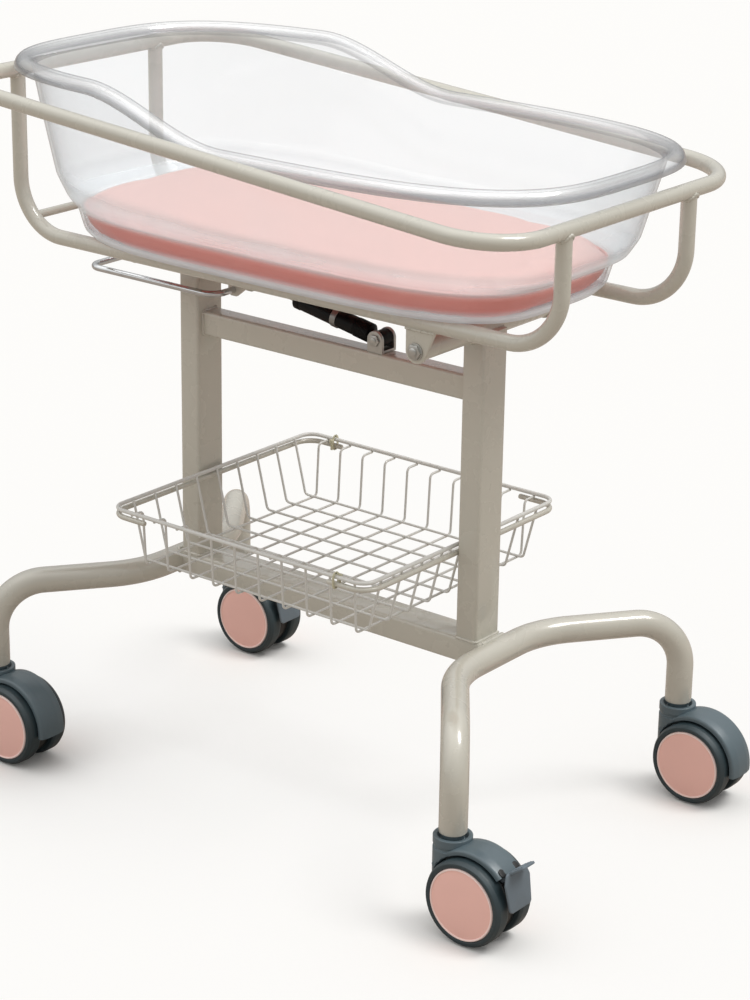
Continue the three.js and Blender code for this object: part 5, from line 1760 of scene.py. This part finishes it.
@dataclass
class Mattress:
    """The cushion in the tub's well: crowned, with drawn-in sides and piping round its upper edge."""

    half: Pair = (323.5, 161.5)
    squareness: float = 3.8
    bottom: float = 650.6
    top: float = 51.0
    slack: float = 6.0
    well_rows: Rows = ((0, 19), (4.4, 15), (13.2, 7.5), (24.2, 3.5), (34.3, 0))
    side_rows: Rows = ((1, 22), (4.4, 18), (13.2, 10.5), (22, 7), (28, 5), (33, 7.5), (36.5, 13), (38.5, 21))
    voxel: float = 4.0
    pressure: float = 4.0
    stiffness: float = 18.0
    frames: int = 20
    cap: float = 7.0
    smoothing: int = 9
    seam_height: float = 31.0
    seam_pull: float = 2.6
    seam_width: float = 3.0
    piping: float = 3.4
    piping_proud: float = 0.4
    fill: float = 0.8
    sides: int = 192
    body: str = "mattress_body"

    def limit(self, height: Array) -> Array:
        """How far in from its full size the well and the seam hold the cushion, by height over its bottom."""
        well = np.interp(height, *np.transpose(self.well_rows))
        return well + self.seam_pull * np.exp(-((height - self.seam_height) / self.seam_width) ** 2)

    def blank(self) -> Skin:
        """The cushion before it is filled: flat-sided, round-edged and slack all round.

        Returns:
            Rings of ovals, closed at both ends.
        """
        side = np.array(self.side_rows)
        share = np.linspace(0, 1, 9)[1:]
        height = side[-1, 0] + (self.top - self.slack - side[-1, 0]) * np.sin(share * math.pi / 2)
        inset = side[-1, 1] + share * (0.8 * self.half[1] - side[-1, 1])
        rings = np.concatenate([side, columns(height, inset)])
        rings = np.concatenate([rings[:1], rings, rings[-1:]])
        half = [np.concatenate([[0.01], size - rings[1:-1, 1], [0.01]]) for size in self.half]
        x, y = oval(*half, np.full(len(rings), self.squareness), self.sides)
        return Skin.grid(columns(x, y, self.bottom + rings[:, :1]))

    def filled(self, made: Object, maker: Maker) -> None:
        """Remeshes the blank, lets cloth pressure fill it, and holds the result inside the well.

        Args:
            made: the blank, which is changed in place.
            maker: gives the origin that places count from.
        """
        scene = bpy.context.scene
        bpy.context.view_layer.objects.active = made
        remesh = made.modifiers.new("even mesh", "REMESH")
        remesh.mode, remesh.voxel_size, remesh.use_smooth_shade = "VOXEL", self.voxel * MM, True
        bpy.ops.object.modifier_apply(modifier=remesh.name)
        rest = points_of(made)
        cloth = made.modifiers.new("filling", "CLOTH")
        settings = cloth.settings
        settings.quality = 4
        settings.use_pressure = True
        settings.uniform_pressure_force = self.pressure
        settings.effector_weights.gravity = 0.0
        settings.tension_stiffness = settings.compression_stiffness = self.stiffness
        cloth.point_cache.frame_start, cloth.point_cache.frame_end = 1, self.frames
        for number in range(1, self.frames + 1):
            scene.frame_set(number)
        bpy.ops.object.modifier_apply(modifier=cloth.name)
        scene.frame_set(1)
        swell = points_of(made) - rest
        length = np.linalg.norm(swell, axis=-1, keepdims=True)
        swollen = rest + swell * np.minimum(1, self.cap * MM / np.maximum(length, 1e-9))
        set_points(made, maker.metres(self.contained(self.spread(maker.millimetres(swollen)))))
        even = made.modifiers.new("smooth", "SMOOTH")
        even.iterations = self.smoothing
        bpy.ops.object.modifier_apply(modifier=even.name)
        set_points(made, maker.metres(self.contained(self.spread(maker.millimetres(points_of(made))))))
        finer = made.modifiers.new("finer", "SUBSURF")
        finer.levels = finer.render_levels = 1

    def reach(self, points: Array) -> Array:
        """How far out points lie, as a share of the well's oval at their height.

        Args:
            points: places in millimetres.

        Returns:
            A share for each point, 1 on the oval.
        """
        inset = self.limit(points[:, 2] - self.bottom)
        ratio = [np.abs(points[:, i] / (self.half[i] - inset)) ** self.squareness for i in (0, 1)]
        return (ratio[0] + ratio[1]) ** (1 / self.squareness)

    def spread(self, points: Array) -> Array:
        """Stretches the cushion along X and Y until its widest points meet the well at the seam."""
        room = np.array(self.half) - self.limit(np.array([self.seam_height]))
        return points * np.append(np.maximum(1, room / np.abs(points[:, :2]).max(axis=0)), 1)

    def contained(self, points: Array) -> Array:
        """Holds points above the tub's floor and inside the well's oval at their height.

        Args:
            points: places in millimetres.

        Returns:
            The held points.
        """
        held = points.copy()
        held[:, 2] = np.clip(held[:, 2], self.bottom, self.bottom + self.top)
        held[:, :2] /= np.maximum(1, self.reach(held))[:, None]
        return held

    def girth(self, points: Array) -> Array:
        """How far out the cushion reaches at its seam, round its plan.

        The points near the seam fall into equal slices of angle. Each slice keeps its largest share of the
        well's oval, and a running mean with a bell weight evens the shares.

        Args:
            points: the filled cushion's points.

        Returns:
            A share of the oval for each slice.
        """
        near = points[np.abs(points[:, 2] - self.bottom - self.seam_height) < self.voxel]
        turn = np.arctan2(near[:, 1], near[:, 0]) / (2 * math.pi) % 1
        widest = np.zeros(self.sides)
        np.maximum.at(widest, (turn * self.sides).astype(int) % self.sides, self.reach(near))
        bell = np.exp(-0.5 * (np.arange(-4, 5) / 1.5) ** 2)
        return np.convolve(np.pad(widest, 4, mode="wrap"), bell / bell.sum(), "valid")

    def welt(self, points: Array) -> Skin:
        """The piping: a thin rod round the filled cushion, half sunk where the seam draws it in.

        Args:
            points: the filled cushion's points.

        Returns:
            The closed ring.
        """
        inset = self.limit(np.array([self.seam_height])) - self.piping_proud
        x, y = oval(self.half[0] - inset, self.half[1] - inset, np.array([self.squareness]), self.sides)
        path = columns(x[0], y[0], self.bottom + self.seam_height)
        path[:, :2] *= self.girth(points)[:, None]
        return tube(path, self.piping, 12, Z_AXIS, closed=True)

    def build(self, maker: Maker) -> None:
        """Makes the cushion and its piping.

        Args:
            maker: makes the pieces.
        """
        made = maker.mesh("cushion", self.blank())
        self.filled(made, maker)
        maker.dress(made, MATTRESS_CLOTH, self.body, ["mattress"])
        piping = self.welt(maker.millimetres(points_of(made)))
        maker.piece("cushion_piping", piping, MATTRESS_CLOTH, self.body)


def points_of(made: Object) -> Array:
    """An object's points as an array.

    Args:
        made: the object.

    Returns:
        Its points in metres.
    """
    flat = np.empty(3 * len(made.data.vertices), np.float32)
    made.data.vertices.foreach_get("co", flat)
    return flat.reshape(-1, 3).astype(float)


def set_points(made: Object, points: Array) -> None:
    """Puts an array back as an object's points."""
    made.data.vertices.foreach_set("co", points.astype(np.float32).reshape(-1))
    made.data.update()


@dataclass
class Caster:
    """A twin-wheel caster: a hooded body on a neck, two covered wheels and, on some, a brake pedal."""

    end: End
    side: Side
    braked: bool
    stem: Pair = (352.0, 226.0)
    trail: float = 36.0
    wheel_radius: float = 50.0
    wheel_width: float = 21.0
    body_width: float = 20.0
    hood_width: float = 40.0
    running_gap: float = 1.0
    hood_radius: float = 60.0
    crown: Pair = (2.2, 0.45)
    hood_front: float = 150.0
    hood_rear: float = -6.0
    braked_rear: float = 44.0
    core_radius: float = 44.0
    neck_radius: float = 22.0
    neck_top: float = 112.0
    collar: float = 9.0
    groove: float = 5.0
    waist: float = 1.6
    neck_foot: float = 58.0
    stem_radius: float = 12.0
    stem_top: float = 150.0
    axle_bore: float = 10.6
    slot_size: Triple = (8.0, 10.0, 3.6)
    slot_y: float = 12.5
    slot_angle: float = 4.2
    cover_radius: float = 42.0
    cover_thickness: float = 2.4
    dome: float = 1.4
    pedal_top: Pair = (66.5, 45.0)
    pedal_low: Pair = (55.0, 3.0)
    pedal_hub: Pair = (52.0, 44.0)
    pedal_width: float = 44.0
    pedal_thickness: float = 3.0
    pedal_waist: float = 12.0
    arm: Pair = (7.0, 2.0)
    tab: Triple = (22.0, 35.0, 28.0)
    tab_ribs: tuple[float, ...] = (4.0, 8.0, 12.0)
    hub_pin: Pair = (4.0, 10.0)

    def __post_init__(self) -> None:
        """Works out the caster's name and where its swivel and axle stand."""
        self.name = f"{self.end.name}_{self.side.name}".lower()
        self.swivel = np.array([self.end.value * self.stem[0], self.side.value * self.stem[1], 0.0])
        self.axle = self.swivel + np.array([self.trail, 0.0, self.wheel_radius])
        self.inner = self.body_width / 2 + self.running_gap
        self.outer = self.inner + self.wheel_width

    def polar(self, radius: float, degrees: float) -> Array:
        """A place in the caster's middle plane, by radius and angle round the axle."""
        angle = math.radians(degrees)
        return self.axle + radius * np.array([math.cos(angle), 0.0, math.sin(angle)])

    def hood(self) -> Skin:
        """The hood: a T section with a crowned top, carried round the axle from its rear end to the neck.

        Returns:
            The closed hood.
        """
        rear = self.braked_rear if self.braked else self.hood_rear
        angle = np.radians(np.linspace(rear, self.hood_front, 60))
        path = self.axle + self.core_radius * columns(np.cos(angle), 0, np.sin(angle))
        room = self.wheel_radius + 2.3 * self.running_gap
        half, web, top, low = self.hood_width / 2, self.body_width / 2, self.hood_radius, self.core_radius - 4
        edge, flat = top - self.crown[0], half * self.crown[1]
        outline = [(room, half, 0), (edge, half, 0), (top, flat, 0), (top, -flat, 0), (edge, -half, 0),
                   (room, -half, 0), (room, -web, 0), (low, -web, 0), (low, web, 0), (room, web, 0)]
        rounds = [0.6, 3.2, 14, 14, 3.2, 0.6, 0.5, 0.5, 0.5, 0.5]
        section = bent_path(outline, rounds, closed=True, step=12.0)[:, :2]
        section[:, 0] = self.core_radius - section[:, 0]
        return sweep(path, section, Y_AXIS)

    def slots(self) -> list[Skin]:
        """The two hinge slots in a braked hood's rear edge, as thin oval plates on its crown, tinted
        near-black as painted shade.

        Returns:
            The two plates.
        """
        angle = self.braked_rear + self.slot_angle
        out = unit(self.polar(1.0, angle) - self.axle)
        along = np.cross(out, Y_AXIS)
        outline, middle = rounded_rectangle(*self.slot_size), self.polar(self.hood_radius - 0.6, angle)
        plates = [plate(outline, 1.0, 0.3, middle + Y_AXIS * side.value * self.slot_y, Y_AXIS, along)
                  for side in Side]
        # Painted shade: the plates take the near-black tint.
        return [replace(skin, tint=np.ones(len(skin.points))) for skin in plates]

    def core(self) -> Skin:
        """The round plate between the wheels, tinted near-black as painted shade."""
        profile = disc_profile(0, self.core_radius, -self.body_width / 2, self.body_width / 2, 1.5)
        return revolve(profile, self.axle, Y_AXIS, 64, np.ones(len(profile)))

    def neck(self) -> Skin:
        """The neck: a turned post with a rim, a groove and a hollow for the stem, cut back for the wheels.

        Returns:
            The turned post.
        """
        r, foot, top, low = self.neck_radius, self.neck_foot, self.neck_top, self.neck_top - self.collar
        stem, waist, groove = self.stem_radius, r - self.waist, low - self.groove
        profile = rounded_profile([
            (0, foot), (r, foot), (r, groove), (waist, groove + 0.6), (waist, low - 1.0), (r, low), (r, top),
            (r - 4.5, top), (stem + 2, top - 6), (stem, top - 6), (stem, self.stem_top),
            (0, self.stem_top)], 0.9)
        length = np.concatenate([[0], np.cumsum(np.linalg.norm(np.diff(profile, axis=0), axis=-1))])
        place = np.union1d(length, np.arange(0, length[-1], 1.2))
        profile = columns(*(np.interp(place, length, column) for column in profile.T))
        turned = revolve(profile, self.swivel, Z_AXIS, 72)
        points = turned.points
        inside = np.hypot(points[:, 0] - self.axle[0], points[:, 2] - self.axle[2]) < self.wheel_radius + 2
        half = self.body_width / 2 - 0.2
        cut = self.axle[1] + np.clip(points[:, 1] - self.axle[1], -half, half)
        points[:, 1] = np.where(inside, cut, points[:, 1])
        return turned

    def wheel(self, hand: Side) -> Skin:
        """A wheel: a crowned tread with round shoulders and a recess for its cover.

        Args:
            hand: the side of the caster.

        Returns:
            The turned wheel.
        """
        bore, r, low, high = self.axle_bore / 2, self.wheel_radius, self.inner, self.outer
        recess, floor = self.cover_radius + 0.3, self.outer - self.cover_thickness - 0.3
        profile = rounded_profile([
            (bore, low), (r - 1.2, low), (r, low + 4), (r, high - 5), (r - 2.6, high), (recess, high),
            (recess, floor), (bore, floor)], 1.6)
        profile = np.concatenate([profile, profile[:1]])
        return revolve(profile, self.axle, Y_AXIS * hand.value, 96)

    def cover(self, hand: Side) -> Skin:
        """A wheel's cover: a shallow dome inside a raised bead, whose edge carries the paler tint.

        Args:
            hand: the side of the caster.

        Returns:
            The turned cover.
        """
        r, face, back = self.cover_radius, self.outer, self.outer - self.cover_thickness
        dome = np.linspace(0, 1, 10)
        rows = columns(dome * (r - 3.0), face + self.dome * (1 - dome ** 2) - 0.5 * dome ** 8)
        bead = rounded_profile([(r - 2.6, face - 0.5), (r - 2.0, face + 0.5), (r - 0.8, face + 0.5),
                                (r, face - 0.8), (r, back), (0, back)], 0.4)
        tint = np.concatenate([np.zeros(10), [0.4], np.ones(len(bead) - 1)])
        return revolve(np.concatenate([rows, bead]), self.axle, Y_AXIS * hand.value, 96, tint)

    def pedal(self) -> list[Skin]:
        """The brake pedal: a rounded plate behind the wheels, a ribbed toe tab and an arm to its hub.

        Returns:
            The board, the tab, its ribs, the arm and the pin.
        """
        top, low, hub = (self.polar(*place) for place in (self.pedal_top, self.pedal_low, self.pedal_hub))
        down = unit(low - top)
        out = np.cross(down, Y_AXIS)
        out = out if out[0] > 0 else -out
        length = float(np.linalg.norm(low - top))
        half = self.pedal_width / 2
        corners = np.array([[-half + 5, 0, 0], [half - 5, 0, 0], [half, self.pedal_waist, 0],
                            [half - 3, length, 0], [3 - half, length, 0], [-half, self.pedal_waist, 0]])
        outline = bent_path(corners, [3, 3, 6, 5, 5, 6], closed=True)[:, :2]
        board = plate(outline, self.pedal_thickness, 1.0, top + out * self.pedal_thickness / 2, Y_AXIS, down)
        reach, rise, width = self.tab
        lift = np.array([math.cos(math.radians(rise)), 0, math.sin(math.radians(rise))])
        across = width / 2
        toe = bent_path([[-across, -2, 0], [across, -2, 0], [across - 3, reach, 0], [3 - across, reach, 0]],
                        [1, 1, 4, 4], closed=True)[:, :2]
        under = np.cross(lift, Y_AXIS)
        under = under if under[2] < 0 else -under
        tab = plate(toe, self.pedal_thickness, 1.0, top + under * self.pedal_thickness / 2, Y_AXIS, lift)
        rib = Y_AXIS * np.array([[5 - across], [across - 5]])
        ribs = [tube(top + lift * (reach - place) - under * 0.1 + rib, 1.8, 10, Z_AXIS, round_end=0.5)
                for place in self.tab_ribs]
        middle = top + down * length * 0.27 + out * self.pedal_thickness / 2
        arm = sweep(np.stack([hub, middle]), rounded_rectangle(self.body_width - 0.4, *self.arm), Z_AXIS)
        radius, end = self.hub_pin
        pin = revolve(disc_profile(0, radius, -end, end), hub, Y_AXIS, 24)
        return [board, tab, *ribs, arm, pin]

    def build(self, maker: Maker) -> None:
        """Makes the caster's pieces.

        Args:
            maker: makes the pieces.
        """
        name, body = self.name, f"{self.name}_caster"
        maker.piece(f"{name}_hood", [self.hood(), self.core(), self.neck()], CASTER_SLATE, body,
                    [f"{name}_caster_body"])
        maker.paint_node(f"{name}_axle", ZINC)
        for hand in Side:
            wheel = f"{name}_{hand.name}".lower()
            roller = f"{wheel}_roller"
            maker.piece(f"{wheel}_tread", self.wheel(hand), TREAD_SLATE, roller, [f"{wheel}_wheel"])
            maker.piece(f"{wheel}_disc", self.cover(hand), COVER_PINK, roller, [f"{wheel}_cover"])
        if self.braked:
            maker.piece(f"{name}_slots", self.slots(), CASTER_SLATE, body)
            maker.piece(f"{name}_pedal_plate", self.pedal(), PEDAL_SLATE, f"{name}_pedal",
                        [f"{name}_brake_pedal"])


@dataclass
class Studio:
    """The pale floor, the soft light and the camera."""

    floor_half: float = 30.0
    floor_colour: Colour = (246, 245, 243)
    floor_patches: Colour = (244, 243, 241)
    glow_colour: Colour = (253, 252, 250)
    bounce_colour: Colour = (180, 169, 159)
    floor_glow: float = 0.85
    contact: float = 0.22
    sky: float = 0.6
    key_strength: float = 1.5
    key_angle: float = 22.0
    key_direction: Triple = (-0.5, -0.26, -1.0)
    fill_strength: float = 0.5
    fill_angle: float = 70.0
    fill_direction: Triple = (0.6, 0.5, -0.55)
    sky_stops: Rows = ((0.0, 0.1), (0.46, 0.14), (0.58, 0.5), (0.8, 0.9), (0.9, 1.5), (1.0, 2.4))
    sky_scale: float = 3.0
    lamp_colour: Triple = (1.0, 0.99, 0.97)
    camera_place: Triple = (1893.6, -2331.2, 1448.6)
    azimuth: float = 38.19
    pitch: float = 20.08
    roll: float = 0.87
    lens: float = 96.63

    def ray(self, shader: Shader, kind: str) -> Field:
        """1 for one kind of ray, and 0 for the rest."""
        return shader.node("ShaderNodeLightPath", output=f"Is {kind} Ray")

    def floor(self) -> None:
        """A wide floor: pale to the camera, though it takes shadows, painted deeper near other things, and
        darker in what it throws back.
        """
        half = self.floor_half
        data = bpy.data.meshes.new("floor")
        corners = [(-half, -half, 0), (half, -half, 0), (half, half, 0), (-half, half, 0)]
        data.from_pydata(corners, [], [(0, 1, 2, 3)])
        material = bpy.data.materials.new("floor")
        material.use_nodes = True
        shader = Shader(material.node_tree)
        seen = self.ray(shader, "Camera").most(self.ray(shader, "Transmission"))
        tone = shader.blend(shader.noise(0.8), linear(self.floor_colour), linear(self.floor_patches))
        tone = shader.blend(seen, linear(self.bounce_colour), tone)
        matt = shader.principled(Base_Color=tone, Roughness=0.9, Specular_IOR_Level=0.1)
        glow = shader.node("ShaderNodeEmission", sockets={"Color": linear(self.glow_colour), "Strength": 1.0})
        # Painted contact shadow: near other things the glow fades, so the lit floor's real shadow shows
        # deeper.
        near = shader.node("ShaderNodeAmbientOcclusion", {"samples": 8}, {"Distance": self.contact},
                           output="AO")
        share = seen * self.floor_glow * near ** 4
        shader.finish(shader.node("ShaderNodeMixShader", sockets={0: share, 1: matt, 2: glow}))
        data.materials.append(material)
        made = bpy.data.objects.new("floor", data)
        bpy.context.scene.collection.objects.link(made)

    def light(self) -> None:
        """An even sky, white to the camera and banded by height in reflections, and two broad lamps."""
        world = bpy.data.worlds.new("studio")
        world.use_nodes = True
        bpy.context.scene.world = world
        shader = Shader(world.node_tree, "ShaderNodeOutputWorld")
        height = shader.node("ShaderNodeSeparateXYZ", sockets={0: shader.place()}, output="Z")
        stops = [(place, level / self.sky_scale) for place, level in self.sky_stops]
        banded = shader.ramp(height * 0.5 + 0.5, *stops) * self.sky_scale
        seen = self.ray(shader, "Camera").most(self.ray(shader, "Transmission"))
        strength = self.sky + seen * (1.0 - self.sky) + self.ray(shader, "Glossy") * (banded - self.sky)
        shader.finish(shader.node("ShaderNodeBackground", sockets={
            "Color": (1.0, 0.995, 0.985, 1.0), "Strength": strength}))
        self.lamp("key", self.key_strength, self.key_angle, self.key_direction)
        self.lamp("fill", self.fill_strength, self.fill_angle, self.fill_direction)

    def lamp(self, name: str, strength: float, angle: float, direction: Sequence[float]) -> None:
        """Adds a broad sun lamp.

        Args:
            name: the lamp's name.
            strength: its strength.
            angle: how wide it looks, in degrees.
            direction: the way that its light goes.
        """
        lamp = bpy.data.lights.new(name, "SUN")
        lamp.energy, lamp.angle, lamp.color = strength, math.radians(angle), self.lamp_colour
        made = bpy.data.objects.new(name, lamp)
        made.rotation_euler = Vector(direction).to_track_quat("-Z", "Y").to_euler()
        bpy.context.scene.collection.objects.link(made)

    def camera(self, maker: Maker) -> None:
        """The camera at the photograph's place and angle.

        Args:
            maker: turns places into metres.
        """
        az, pitch, roll = (math.radians(value) for value in (self.azimuth, self.pitch, self.roll))
        ahead = Vector((-math.sin(az) * math.cos(pitch), math.cos(az) * math.cos(pitch), -math.sin(pitch)))
        level = Vector((math.cos(az), math.sin(az), 0.0))
        above = level.cross(ahead)
        right = math.cos(roll) * level + math.sin(roll) * above
        up = math.cos(roll) * above - math.sin(roll) * level
        data = bpy.data.cameras.new("camera")
        data.lens, data.sensor_width, data.dof.use_dof = self.lens, 36.0, False
        made = bpy.data.objects.new("camera", data)
        turn = Matrix((right, up, -ahead)).transposed().to_4x4()
        place = maker.metres(np.array(self.camera_place))
        made.matrix_world = Matrix.Translation(Vector(place)) @ turn
        bpy.context.scene.collection.objects.link(made)
        bpy.context.scene.camera = made

    def build(self, maker: Maker) -> None:
        """Sets up the stage.

        Args:
            maker: turns places into metres.
        """
        bpy.context.scene.view_settings.view_transform = "Standard"
        self.floor()
        self.light()
        self.camera(maker)


def main() -> None:
    """Builds the bassinet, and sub-assembly by sub-assembly."""
    logging.basicConfig(level=logging.INFO, format="%(name)s: %(message)s")
    maker = Maker()
    parts = [Studio(), Base(), Cradle(), TiltGear(), Basket(), Tub(), Mattress()]
    braked = ((End.HEAD, Side.RIGHT), (End.FOOT, Side.LEFT))
    parts += [Caster(end, side, (end, side) in braked) for end in End for side in Side]
    for part in parts:
        part.build(maker)
    LOG.info("%d pieces", len(maker.made))


if __name__ == "__main__":
    main()
